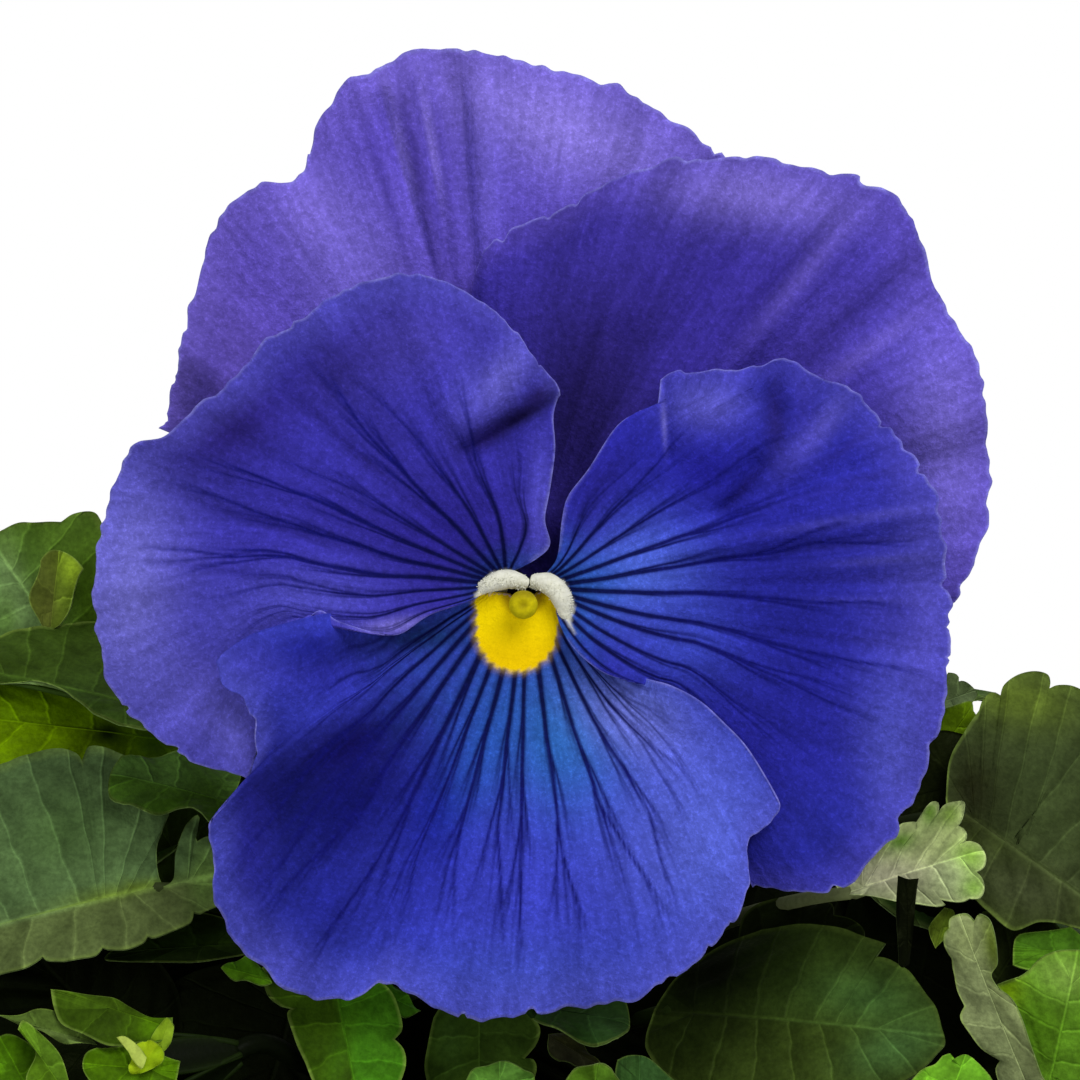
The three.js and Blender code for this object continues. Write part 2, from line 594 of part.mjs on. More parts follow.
/** Leaves placed by rule: golden angle round the plant, rising evenly over the mound. */
function moundLeaves() {
  const random = draws(LEAF_SEED);
  const leaves = [];
  for (let i = 0; i < FOLIAGE_LEAVES; i++) {
    const share = (i + 0.5) / FOLIAGE_LEAVES;
    const [d1, d2, d3, d4] = [random(), random(), random(), random()];
    const low = Math.sin(rad(LOWEST_LEAF));
    const high = Math.sin(rad(HIGHEST_LEAF));
    const rise = deg(Math.asin(mix(low, high, share)));
    const turn = i * GOLDEN_ANGLE + 8 * (d1 - 0.5);
    const front = Math.abs((((turn + 90) % 360) + 540) % 360 - 180);
    if (front < FRONT_SECTOR && rise > FRONT_HEIGHT) continue;
    const climb = (rise - LOWEST_LEAF) / (HIGHEST_LEAF - LOWEST_LEAF);
    const sway = rad(turn);
    const outward = vec(Math.cos(sway), Math.sin(sway), 0);
    const leftward = 1 - 0.05 * Math.cos(sway);
    const reach = mix(55, 84, climb) * leftward * mix(0.97, 1.03, d2);
    const base = outward.clone().multiplyScalar(reach * Math.cos(rad(rise)));
    base.z = FOLIAGE_APEX + reach * Math.sin(rad(rise));
    const length = mix(32, 28, climb) * mix(0.92, 1.08, d3);
    const fall = rad(16 * climb ** 3 - 8 - 28 * Math.sin(Math.PI * climb ** 0.9));
    const twist = rad(24 * (d4 - 0.5));
    const heading = outward.clone().applyAxisAngle(vec(0, 0, 1), twist);
    const tip = base.clone().addScaledVector(heading, length * Math.cos(fall));
    tip.z += length * Math.sin(fall);
    const facing = heading.clone().multiplyScalar(-Math.sin(fall));
    facing.z = Math.cos(fall);
    const stem = nearestStem(base);
    const height = Math.min(SOIL_LEVEL + STEM_HEIGHT - 2, FOLIAGE_APEX + 13 * Math.tan(rad(rise)));
    const foot = stemAt(stem, Math.max(SOIL_LEVEL + 3, height));
    const lean = foot.clone().lerp(base, 0.6).add(vec(0, 0, 2));
    leaves.push({
      stem, foot, lean, base, tip, facing, width: length * 0.78, arch: 0.1, fold: 0.16,
      teeth: LEAF_TEETH - 1, joints: 2,
    });
  }
  return leaves;
}

/** One leafy stem: the stem and all the leaves that grow from it, as one body. */
function leafyStem(k, leaves) {
  const centres = [];
  const radii = [];
  for (let i = 0; i <= 5; i++) {
    const z = mix(SOIL_LEVEL - ROOT_DEPTH, SOIL_LEVEL + STEM_HEIGHT, i / 5);
    centres.push(stemAt(k, z));
    radii.push(STEM_RADIUS * mix(1, 0.65, i / 5));
  }
  const mine = leaves.filter((entry) => entry.stem === k);
  return fuse([tube(centres, radii, 6), ...mine.map((entry) => leaf(entry))]);
}

// ---------------------------------------------------------------- flower stalk, bud, soil, pot
const STALK_FOOT = vec(0, -4, SOIL_LEVEL - ROOT_DEPTH);
const BUD_FOOT = vec(-6, -18, SOIL_LEVEL - ROOT_DEPTH);
const STALK_THICKNESS = 1.25;

/** A narrow pointed sepal from a to b. */
function sepal(a, b, facing, width) {
  const lean = a.clone().lerp(b, 0.15);
  return leaf({
    foot: a, lean, base: a.clone().lerp(b, 0.3), tip: b, facing, width, arch: 0.04, fold: 0.1,
    teeth: 2, joints: 1,
  });
}

/** Flower stalk: rises behind the bloom, bends over and ends in the receptacle and sepals. */
function flowerStalk() {
  const back = -CALYX_DEPTH - 3.2;
  const neck = onFace(0, 0, back + 1);
  const rise = bend(STALK_FOOT, vec(0, -2, 150), vec(0, -9, 172), 6);
  const hook = bend(vec(0, -9, 172), vec(0, -14, 183), vec(0, -24, 182.6), 4);
  const into = bend(vec(0, -24, 182.6), onFace(0, 2, back - 6), neck, 3);
  const centres = [...rise, ...hook.slice(1), ...into.slice(1)];
  const radii = centres.map((_, i) => STALK_THICKNESS * (i > 9 ? 0.85 : 1));
  const disc = turnedOnFace([
    [0, back], [1.8, back], [3.3, -CALYX_DEPTH - 1.2], [3.1, -CALYX_DEPTH], [0, -CALYX_DEPTH],
  ], 12);
  const sepals = [18, 90, 162, 234, 306].map((angle) => {
    const [c, s] = [Math.cos(rad(angle)), Math.sin(rad(angle))];
    const root = onFace(1.5 * c, 1.5 * s, -CALYX_DEPTH - 1.3);
    const point = onFace(13.5 * c, 13.5 * s, -CALYX_DEPTH - 2.6);
    return sepal(root, point, FACE_OUT, 4.6);
  });
  return fuse([tube(centres, radii, 6), disc, ...sepals]);
}

const BUD_NECK = [-26, -40, -5];
const BUD_TIP = [-41, -43.5, -1.5];

/** Stalk of the bud, with five sepals that clasp it. */
function budStalk() {
  const neck = onFace(...BUD_NECK);
  const tip = onFace(...BUD_TIP);
  const heading = tip.clone().sub(neck).normalize();
  const collar = BUD_FOOT.clone().setZ(SOIL_LEVEL + 4);
  const rise = [BUD_FOOT, ...bend(collar, vec(-9, -24, 128), vec(-21, -44, 138), 4)];
  const hook = bend(vec(-21, -44, 138), vec(-23.5, -47, 141.3), neck, 3);
  const across = heading.clone().cross(vec(0, 0, 1)).normalize();
  const up = across.clone().cross(heading);
  const sepals = [0, 72, 144, 216, 288].map((angle) => {
    const out = across.clone().multiplyScalar(Math.cos(rad(angle))).addScaledVector(up, Math.sin(rad(angle)));
    const root = neck.clone().addScaledVector(heading, -0.4).addScaledVector(out, 0.6);
    const point = neck.clone().addScaledVector(heading, 14).addScaledVector(out, 6.2);
    return sepal(root, point, out, 4.4);
  });
  const centres = [...rise, ...hook.slice(1)];
  return fuse([tube(centres, centres.map(() => 1.0), 6), ...sepals]);
}

/** The closed bud: rolled petals between the sepals. */
function budBody() {
  const neck = onFace(...BUD_NECK);
  const heading = onFace(...BUD_TIP).sub(neck).normalize();
  const reach = [1.7, 3.2, 6, 9, 12, 14.5];
  return tube(reach.map((d) => neck.clone().addScaledVector(heading, d)), [0.5, 1.0, 2.1, 2.7, 2.0, 0.5], 9);
}

/** Inner radius of the pot at height z. */
function potInside(z) {
  const body = mix(POT_FOOT_RADIUS, POT_BODY_TOP_RADIUS, z / (POT_HEIGHT - POT_RIM_HEIGHT));
  return body - POT_WALL;
}

function pot() {
  const shoulder = POT_HEIGHT - POT_RIM_HEIGHT;
  const lip = 1.2;
  const inner = potInside(POT_HEIGHT);
  const profile = [
    [0, 0], [POT_FOOT_RADIUS - 1, 0], [POT_FOOT_RADIUS, 1], [POT_BODY_TOP_RADIUS, shoulder],
    [POT_RIM_RADIUS - 2, shoulder + lip], [POT_RIM_RADIUS, POT_HEIGHT - lip],
    [POT_RIM_RADIUS - lip, POT_HEIGHT], [inner + 0.6, POT_HEIGHT], [inner - 0.3, POT_HEIGHT - lip],
    [potInside(POT_FLOOR), POT_FLOOR], [0, POT_FLOOR],
  ];
  const body = new THREE.LatheGeometry(profile.map((p) => new THREE.Vector2(...p)), POT_SEGMENTS);
  body.rotateX(Math.PI / 2);
  const holes = Array.from({ length: DRAIN_HOLES }, (_, i) => {
    const angle = rad(90 + (360 / DRAIN_HOLES) * i);
    const drill = new THREE.CylinderGeometry(DRAIN_HOLE_RADIUS, DRAIN_HOLE_RADIUS, POT_FLOOR * 3, 16);
    drill.rotateX(Math.PI / 2);
    return drill.translate(DRAIN_HOLE_RING * Math.cos(angle), DRAIN_HOLE_RING * Math.sin(angle), 0);
  });
  return cut(body, holes);
}

/** Height of the soil's surface at x, y. */
function soilTop(x, y) {
  const lumps = Math.sin(0.31 * x + 0.7) * Math.cos(0.27 * y) + 0.6 * Math.sin(0.53 * x - 0.41 * y + 2);
  return SOIL_LEVEL + SOIL_LUMP * 0.6 * lumps;
}

/** Potting soil: fills the pot to just under its rim, with a hole for each stem. */
function soil() {
  const floor = POT_FLOOR + GAP;
  const rings = [];
  for (let j = 0; j <= SOIL_RINGS; j++) {
    const share = Math.max(0.02, j / SOIL_RINGS);
    rings.push(Array.from({ length: SOIL_SPOKES }, (_, i) => {
      const angle = (i * 2 * Math.PI) / SOIL_SPOKES;
      const r = share * (potInside(SOIL_LEVEL) - 1.2);
      const [x, y] = [r * Math.cos(angle), r * Math.sin(angle)];
      return vec(x, y, soilTop(x, y));
    }));
  }
  const footRadius = potInside(floor) - GAP - 0.4;
  rings.push(Array.from({ length: SOIL_SPOKES }, (_, i) => {
    const angle = (i * 2 * Math.PI) / SOIL_SPOKES;
    return vec(footRadius * Math.cos(angle), footRadius * Math.sin(angle), floor);
  }));
  const feet = Array.from({ length: STEM_COUNT }, (_, k) => [k, STEM_RADIUS]);
  const holes = feet.map(([k, r]) => {
    const path = [stemAt(k, SOIL_LEVEL - ROOT_DEPTH - GAP), stemAt(k, SOIL_LEVEL + 6)];
    return tube(path, [r + GAP + 0.1, r + GAP + 0.1], 10);
  });
  for (const [foot, r] of [[STALK_FOOT, STALK_THICKNESS], [BUD_FOOT, 1.0]]) {
    const path = [foot.clone().add(vec(0, 0, -GAP)), foot.clone().add(vec(0, 0, ROOT_DEPTH + 6))];
    holes.push(tube(path, [r + 0.8, r + 0.8], 10));
  }
  return cut(loft(rings), holes);
}

// ---------------------------------------------------------------- the planter
const planter = new THREE.Group();

function add(name, geometry, finish) {
  const mesh = new THREE.Mesh(geometry, new THREE.MeshStandardMaterial(finish));
  mesh.name = name;
  planter.add(mesh);
}

const leaves = [...faceLeaves(), ...moundLeaves()];

add('pot', pot(), CLAY);
add('soil', soil(), SOIL);
for (let k = 0; k < STEM_COUNT; k++) add(`leafy_stem_${k + 1}`, leafyStem(k, leaves), LEAF);
add('flower_stalk', flowerStalk(), STALK);
for (const name of Object.keys(PETALS)) add(name, petalGeometry(name), PETALS[name].finish);
add('pistil', pistil(), STIGMA);
add('stamens', stamens(), ANTHER);
add('bud_stalk', budStalk(), STALK);
add('flower_bud', budBody(), BUD);

export default planter;
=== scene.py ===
"""Potted pansy planter: the visual model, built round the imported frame.

Shapes are worked out in millimetres and turned to metres when they become meshes.
"""

import logging
from collections.abc import Callable
from dataclasses import dataclass, field
from enum import Enum
from functools import partial

import bpy
import numpy as np
from mathutils import Matrix


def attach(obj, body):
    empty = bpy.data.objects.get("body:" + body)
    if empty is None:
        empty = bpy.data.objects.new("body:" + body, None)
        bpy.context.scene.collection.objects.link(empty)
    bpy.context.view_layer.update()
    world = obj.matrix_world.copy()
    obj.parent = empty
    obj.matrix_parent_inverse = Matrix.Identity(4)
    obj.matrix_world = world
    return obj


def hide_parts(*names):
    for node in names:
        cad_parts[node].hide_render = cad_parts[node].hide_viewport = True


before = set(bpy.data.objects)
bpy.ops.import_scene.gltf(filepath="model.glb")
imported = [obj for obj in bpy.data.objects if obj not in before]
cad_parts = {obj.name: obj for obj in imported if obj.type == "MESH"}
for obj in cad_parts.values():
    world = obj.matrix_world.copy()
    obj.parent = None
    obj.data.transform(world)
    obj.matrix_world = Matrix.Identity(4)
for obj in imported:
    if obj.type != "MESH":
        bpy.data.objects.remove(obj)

LOG = logging.getLogger("pansy_planter")
MM = 0.001
TAU = 2 * np.pi
Array = np.ndarray
Material, Object, Socket = bpy.types.Material, bpy.types.Object, bpy.types.NodeSocket

# ------------------------------------------------------------------ the bloom's own axes
BLOOM_CENTRE = np.array([0.0, -48.0, 180.0])
BLOOM_TILT = np.radians(8.0)
FACE_RIGHT = np.array([1.0, 0.0, 0.0])
FACE_UP = np.array([0.0, np.sin(BLOOM_TILT), np.cos(BLOOM_TILT)])
FACE_OUT = np.array([0.0, -np.cos(BLOOM_TILT), np.sin(BLOOM_TILT)])
GOLDEN_ANGLE = 137.508
# heights and depths in mm that several sub-assemblies share
SOIL_LEVEL, ROOT_DEPTH, CALYX_DEPTH = 97.0, 14.0, 12.6
# the camera stands this far out of the face, opposite this point of it, in mm
SEEN_FROM, SEEN_RIGHT, SEEN_UP = 400.0, 1.6, 6.4


# ------------------------------------------------------------------ small maths
def ramp(a: float, b: float, x: Array) -> Array:
    """Smooth step from 0 at a to 1 at b."""
    q = np.clip((np.asarray(x, float) - a) / (b - a), 0.0, 1.0)
    return q * q * (3 - 2 * q)


def bell(distance: Array, width: float) -> Array:
    """Bell curve: 1 at no distance, fading over the width."""
    return np.exp(-((distance / width) ** 2))


def mix(a: Array, b: Array, t: Array) -> Array:
    """Straight blend from a to b."""
    return a + (b - a) * t


def unit(v: Array) -> Array:
    """Vectors of length 1 along the last axis."""
    return v / np.maximum(np.linalg.norm(v, axis=-1, keepdims=True), 1e-12)


def linear(hexcode: str) -> Array:
    """Linear red, green and blue of an sRGB hex colour such as "#aabbcc"."""
    srgb = np.array([int(hexcode[i:i + 2], 16) / 255 for i in (1, 3, 5)])
    return np.where(srgb <= 0.04045, srgb / 12.92, ((srgb + 0.055) / 1.055) ** 2.4)


def draws(seed: int) -> Callable:
    """Seeded random numbers between 0 and 1, the same as the solids' placing rule uses.

    Args:
        seed: Any whole number.

    Returns:
        A function that gives the next number at each call.
    """
    state = seed & 0xFFFFFFFF

    def following() -> float:
        """The next number."""
        nonlocal state
        state = (state + 0x6D2B79F5) & 0xFFFFFFFF
        t = state
        t = ((t ^ (t >> 15)) * (t | 1)) & 0xFFFFFFFF
        t ^= (t + (((t ^ (t >> 7)) * (t | 61)) & 0xFFFFFFFF)) & 0xFFFFFFFF
        return ((t ^ (t >> 14)) & 0xFFFFFFFF) / 4294967296
    return following


def rows(text: str) -> list:
    """Rows of a written table: a comma ends a row; its numbers and colours are parted by spaces."""
    return [tuple(word if word[0] == "#" else float(word) for word in row.split()) for row in text.split(",")]


def along(points: list, s: Array) -> Array:
    """Points on a smooth curve through 2D points.

    Cubic pieces with Catmull-Rom slopes; s is the share of the chord length.

    Args:
        points: Points that the curve passes through, in order.
        s: Shares from 0 to 1.

    Returns:
        Array of the shape of s with two numbers more.
    """
    p = np.asarray(points, float)
    run = np.concatenate([[0], np.cumsum(np.linalg.norm(np.diff(p, axis=0), axis=1))])
    goal = np.asarray(s, float) * run[-1]
    i = np.clip(np.searchsorted(run, goal, side="left") - 1, 0, len(p) - 2)
    t = ((goal - run[i]) / (run[i + 1] - run[i]))[..., None]
    p0, p1 = p[np.maximum(i - 1, 0)], p[i]
    p2, p3 = p[i + 1], p[np.minimum(i + 2, len(p) - 1)]
    m1, m2 = 0.5 * (p2 - p0), 0.5 * (p3 - p1)
    a = 2 * p1 - 2 * p2 + m1 + m2
    b = -3 * p1 + 3 * p2 - 2 * m1 - m2
    return ((a * t + b) * t + m1) * t + p1


def to_line(x: Array, u: Array, start: tuple, end: tuple) -> Array:
    """Distance from points on the face to a straight stretch from start to end."""
    dx, du = end[0] - start[0], end[1] - start[1]
    q = np.clip(((x - start[0]) * dx + (u - start[1]) * du) / (dx * dx + du * du), 0, 1)
    return np.hypot(x - start[0] - q * dx, u - start[1] - q * du)


def lattice_noise(x: Array, y: Array, seed: int) -> Array:
    """Smooth noise from -1 to 1: random lattice values blended by a smooth step."""
    rng = np.random.default_rng(seed)
    table = rng.uniform(-1, 1, (64, 64))
    ix, iy = np.floor(x).astype(int), np.floor(y).astype(int)
    fx, fy = x - ix, y - iy
    fx, fy = fx * fx * (3 - 2 * fx), fy * fy * (3 - 2 * fy)
    near, far = (mix(table[ix % 64, j % 64], table[(ix + 1) % 64, j % 64], fx) for j in (iy, iy + 1))
    return mix(near, far, fy)


def on_face(x: Array, u: Array, n: Array) -> Array:
    """Points given as mm right, up and out from the bloom's centre."""
    x, u, n = np.broadcast_arrays(x, u, n)
    return BLOOM_CENTRE + x[..., None] * FACE_RIGHT + u[..., None] * FACE_UP + n[..., None] * FACE_OUT


def in_sight(right: Array, up: Array, base: Array, normal: Array) -> Array:
    """Points of a plane that the camera sees at mm right and up of the bloom's centre."""
    eye = on_face(SEEN_RIGHT, SEEN_UP, SEEN_FROM)
    line = on_face(right, up, 0.0) - eye
    return eye + line * (((base - eye) @ normal) / (line @ normal))[..., None]


def as_seen(points: Array) -> tuple:
    """Where points show on the bloom's face to the camera, in mm right and up."""
    from_centre = points - BLOOM_CENTRE
    scale = SEEN_FROM / (SEEN_FROM - from_centre @ FACE_OUT)
    return (SEEN_RIGHT + (from_centre @ FACE_RIGHT - SEEN_RIGHT) * scale,
            SEEN_UP + (from_centre @ FACE_UP - SEEN_UP) * scale)


def face_direction(d: tuple) -> Array:
    """Unit direction given as right, up and out of the bloom's face."""
    return unit(d[0] * FACE_RIGHT + d[1] * FACE_UP + d[2] * FACE_OUT)


def bend(a: Array, b: Array, c: Array, t: Array) -> Array:
    """Quadratic bend from a to c, drawn towards b, at shares t."""
    t = np.asarray(t, float)[..., None]
    return a * (1 - t) ** 2 + b * 2 * t * (1 - t) + c * t * t


def run_length(points: Array, axis: int) -> Array:
    """Lengths of a grid's lines of points along an axis, kept as a row or column."""
    return np.linalg.norm(np.diff(points, axis=axis), axis=-1).sum(axis=axis, keepdims=True)


# ------------------------------------------------------------------ meshes
@dataclass
class Body:
    """Surfaces gathered for one mesh: points, faces, UV, colour with any painted light and shade, and
    material numbers.
    """

    points: list = field(default_factory=list)
    faces: list = field(default_factory=list)
    uvs: list = field(default_factory=list)
    colours_and_shade: list = field(default_factory=list)
    slots: list = field(default_factory=list)
    count: int = 0

    def add(self, points: Array, faces: list, uv: Array = None, colour_and_shade: Array = None, slot: int = 0) -> None:
        """Adds one surface.

        Args:
            points: Point places in mm, one row each.
            faces: Arrays of point numbers, each of one face size.
            uv: A pattern place for each point.
            colour_and_shade: Linear colour for each point, or one for all, with any painted light and shade;
            a fourth number, 1 where it isn't given, says how much of the material's pattern shows there.
            slot: Which of the piece's materials the faces take.
        """
        n = len(points)
        self.points.append(points)
        self.uvs.append(np.zeros((n, 2)) if uv is None else uv)
        colour = np.ones(3) if colour_and_shade is None else np.asarray(colour_and_shade)
        dye = np.ones((n, 4))
        dye[:, :colour.shape[-1]] = colour
        self.colours_and_shade.append(dye)
        for block in faces:
            block = np.asarray(block)
            if len(block):
                self.faces.append(block + self.count)
                self.slots.append(np.full(len(block), slot))
        self.count += n

    def build(self, name: str, materials: list) -> Object:
        """Makes the mesh object.

        Args:
            name: The piece's name.
            materials: Its materials, in slot order.

        Returns:
            The object, in metres, at the origin.
        """
        points = np.concatenate(self.points) * MM
        corners = np.concatenate([b.ravel() for b in self.faces])
        sizes = np.concatenate([np.full(len(b), b.shape[1]) for b in self.faces])
        mesh = bpy.data.meshes.new(name)
        mesh.vertices.add(len(points))
        mesh.vertices.foreach_set("co", points.ravel())
        mesh.loops.add(len(corners))
        mesh.loops.foreach_set("vertex_index", corners.astype(np.int32))
        mesh.polygons.add(len(sizes))
        starts = np.concatenate([[0], np.cumsum(sizes)[:-1]])
        mesh.polygons.foreach_set("loop_start", starts.astype(np.int32))
        mesh.polygons.foreach_set("material_index", np.concatenate(self.slots).astype(np.int32))
        mesh.update(calc_edges=True)
        mesh.validate()
        mesh.shade_smooth()
        mesh.uv_layers.new(name="surface").uv.foreach_set("vector", np.concatenate(self.uvs)[corners].ravel())
        colour_and_shade = mesh.color_attributes.new("colour_and_shade", "FLOAT_COLOR", "POINT")
        colour_and_shade.data.foreach_set("color", np.concatenate(self.colours_and_shade).ravel())
        piece = bpy.data.objects.new(name, mesh)
        bpy.context.scene.collection.objects.link(piece)
        for material in materials:
            mesh.materials.append(material)
        return piece


def grid_faces(lines: int, columns: int, closed: bool = False) -> Array:
    """Four-sided faces of a grid of points; closed joins the last column to the first."""
    j, i = np.meshgrid(np.arange(lines - 1), np.arange(columns if closed else columns - 1), indexing="ij")
    i, j = i.ravel(), j.ravel()
    k = (i + 1) % columns
    return np.stack([j * columns + i, j * columns + k, (j + 1) * columns + k, (j + 1) * columns + i], 1)


def band(first: int, second: int, count: int) -> Array:
    """Four-sided faces between two closed rings of points, from the numbers that they start at."""
    i = np.arange(count)
    k = (i + 1) % count
    return np.stack([first + i, first + k, second + k, second + i], 1)


def fan(hub: int, ring: int, count: int) -> Array:
    """Triangles from a hub point to a closed ring of points."""
    i = np.arange(count)
    return np.stack([np.full(count, hub), ring + i, ring + (i + 1) % count], 1)


def grid_normals(points: Array) -> Array:
    """Unit normals of a grid of points, across times down."""
    return unit(np.cross(np.gradient(points, axis=1), np.gradient(points, axis=0)))


def shell(front: Array, back: Array) -> tuple:
    """Closed sheet from two grids of equal size, joined round their border.

    Args:
        front: Grid of points of the front face.
        back: The same for the back.

    Returns:
        Points and face arrays.
    """
    lines, columns = front.shape[:2]
    n = lines * columns
    face = grid_faces(lines, columns)
    number = np.arange(n).reshape(lines, columns)
    rim = np.concatenate([number[0, :-1], number[:-1, -1], number[-1, :0:-1], number[:0:-1, 0]])
    nxt = np.roll(rim, -1)
    wall = np.stack([rim, rim + n, nxt + n, nxt], 1)
    points = np.concatenate([front.reshape(-1, 3), back.reshape(-1, 3)])
    return points, [face, face[:, ::-1] + n, wall]


def tube(centres: Array, radii: Array, sides: int) -> tuple:
    """Round tube with closed ends: a circle carried along the centre points.

    Args:
        centres: Points along the middle.
        radii: Radius at each point.
        sides: Number of sides.

    Returns:
        Points and face arrays, and the share along and round for each point.
    """
    centres, radii = np.asarray(centres, float), np.broadcast_to(radii, len(centres))
    heading = unit(np.gradient(centres, axis=0))
    hint = np.array([1.0, 0, 0]) if abs(heading[:, 0]).mean() < 0.8 else np.array([0, 1.0, 0])
    side = unit(np.cross(heading, hint))
    other = np.cross(heading, side)
    turn = np.arange(sides) * TAU / sides
    ring = np.cos(turn)[None, :, None] * side[:, None] + np.sin(turn)[None, :, None] * other[:, None]
    points = centres[:, None] + ring * radii[:, None, None]
    last = (len(centres) - 1) * sides
    caps = [np.arange(sides)[None], last + np.arange(sides)[::-1][None]]
    share = np.stack(np.broadcast_arrays(
        (turn / TAU)[None, :], np.linspace(0, 1, len(centres))[:, None]), -1)
    faces = grid_faces(len(centres), sides, True)[:, ::-1]
    return points.reshape(-1, 3), [faces, *caps], share.reshape(-1, 2)


def turned(profile: Array, sides: int) -> tuple:
    """Closed turned body about Z: the profile's first and last points lie on the axis.

    Args:
        profile: Radius and height pairs.
        sides: Number of sides.

    Returns:
        Points, face arrays and UV.
    """
    inner = np.asarray(profile, float)[1:-1]
    turn = np.arange(sides) * TAU / sides
    r, z = inner[:, 0][:, None], inner[:, 1][:, None]
    ring = np.stack(np.broadcast_arrays(r * np.cos(turn), r * np.sin(turn), z), -1).reshape(-1, 3)
    ends = np.array([[0, 0, profile[0][1]], [0, 0, profile[-1][1]]], float)
    n = len(ring)
    caps = [fan(n, 0, sides)[:, [0, 2, 1]], fan(n + 1, n - sides, sides)]
    uv = np.stack(np.broadcast_arrays(turn / TAU, np.linspace(0, 1, len(inner))[:, None]), -1)
    uv = np.concatenate([uv.reshape(-1, 2), [[0, 0], [0, 1]]])
    return np.concatenate([ring, ends]), [grid_faces(len(inner), sides, True), *caps], uv


def place_on_face(points: Array, x: float, u: float, n: float) -> Array:
    """Moves a body turned about Z so that its axis runs out of the bloom's face."""
    turned_points = points[:, :1] * FACE_RIGHT - points[:, 1:2] * FACE_UP + points[:, 2:] * FACE_OUT
    return turned_points + on_face(x, u, n)


# ------------------------------------------------------------------ materials
def node(tree: bpy.types.NodeTree, kind: str, inputs: dict | tuple = (), output: int | str = 0,
         **settings: str) -> Socket:
    """Adds one shader node.

    Args:
        tree: The node tree.
        kind: The node's type name, without "ShaderNode" in front.
        inputs: A constant or a feeding socket for each input, in order or by name or number.
        output: Name or number of the output to return.
        settings: The node's own properties.

    Returns:
        The output socket, or None where the node has none.
    """
    made = tree.nodes.new("ShaderNode" + kind)
    for key, value in settings.items():
        setattr(made, key, value)
    for key, value in (inputs if isinstance(inputs, dict) else dict(enumerate(inputs))).items():
        if isinstance(value, Socket):
            tree.links.new(value, made.inputs[key])
        else:
            made.inputs[key].default_value = value
    return made.outputs[output] if made.outputs else None


def fresh_material(name: str) -> tuple:
    """A new material without nodes, and the function that adds a node to it."""
    made = bpy.data.materials.new(name)
    made.use_nodes = True
    made.node_tree.nodes.clear()
    return made, partial(node, made.node_tree)


def rgba(hexcode: str) -> tuple:
    """Linear colour with alpha 1."""
    return (*linear(hexcode), 1.0)


@dataclass(frozen=True)
class PetalFinish:
    """Pansy petal: living tissue whose skin is a pile of tiny cone cells.

    The cones trap light, so it looks like velvet: matt, deep, and paler at grazing angles.
    """

    name: str
    roughness: float = 0.75
    sheen: float = 0.04
    streaks: float = 120.0   # radial streaks from side to side, about 0.6 mm apart at the rim
    streaks_down: float = 7.0
    streak_depth: float = 0.13
    grain_mm: float = 0.3   # skin cells are 0.03 mm: drawn coarser, so that they show
    crinkle_mm: float = 0.75
    cloud_mm: float = 9.0

    def material(self) -> Material:
        """Colour from the mesh, times painted shade of fine radial pleats along the streaks, painted
        glints of the crinkles and cells, and soft clouds of tone.

        The colour's alpha says how much of the pattern shows.
        """
        made, add = fresh_material(self.name)
        colour = add("Attribute", output="Color", attribute_name="colour_and_shade")
        amount = add("Attribute", output="Alpha", attribute_name="colour_and_shade")
        place = add("TexCoord", output="Object")
        stretch = add("Mapping", {"Vector": add("UVMap", uv_map="surface"),
                                  "Scale": (self.streaks, self.streaks_down, 1.0)})
        streak = add("TexNoise", {"Vector": stretch, "Scale": 1.0, "Detail": 3.0, "Roughness": 0.6})
        cells = add("TexNoise", {"Vector": place, "Scale": 1 / (self.grain_mm * MM), "Roughness": 0.7})
        crinkle = add("TexNoise", {"Vector": place, "Scale": 1 / (self.crinkle_mm * MM), "Detail": 3.0,
                                   "Roughness": 0.6})
        clouds = add("TexNoise", {"Vector": place, "Scale": 1 / (self.cloud_mm * MM)})
        # painted shade: the streaks darken and lighten the colour as fine radial pleats would
        light = add("MapRange", (streak, 0.28, 0.72, 1 - self.streak_depth, 1 + self.streak_depth))
        # painted glints from the crinkles and the cells, and an uneven cloud of tone
        for factor in (add("MapRange", (crinkle, 0.3, 0.7, 0.82, 1.2)),
                       add("MapRange", (cells, 0.5, 0.75, 0.96, 1.4)),
                       add("MapRange", (clouds, 0.3, 0.7, 0.92, 1.08))):
            light = add("Math", (light, factor), operation="MULTIPLY")
        light = add("MapRange", (amount, 0.0, 1.0, 1.0, light))
        dyed = add("VectorMath", {0: colour, "Scale": light}, operation="SCALE")
        height = add("Math", (cells, 0.25, crinkle), operation="MULTIPLY_ADD")
        relief = add("Bump", {"Height": height, "Strength": 0.6, "Distance": 0.35 * MM})
        add("OutputMaterial", {"Surface": add("BsdfPrincipled", {
            "Base Color": dyed, "Normal": relief, "Roughness": self.roughness, "IOR": 1.4,
            "Specular IOR Level": 0.06, "Sheen Weight": self.sheen, "Sheen Roughness": 0.45,
            "Sheen Tint": rgba("#8f8cf0")})})
        return made


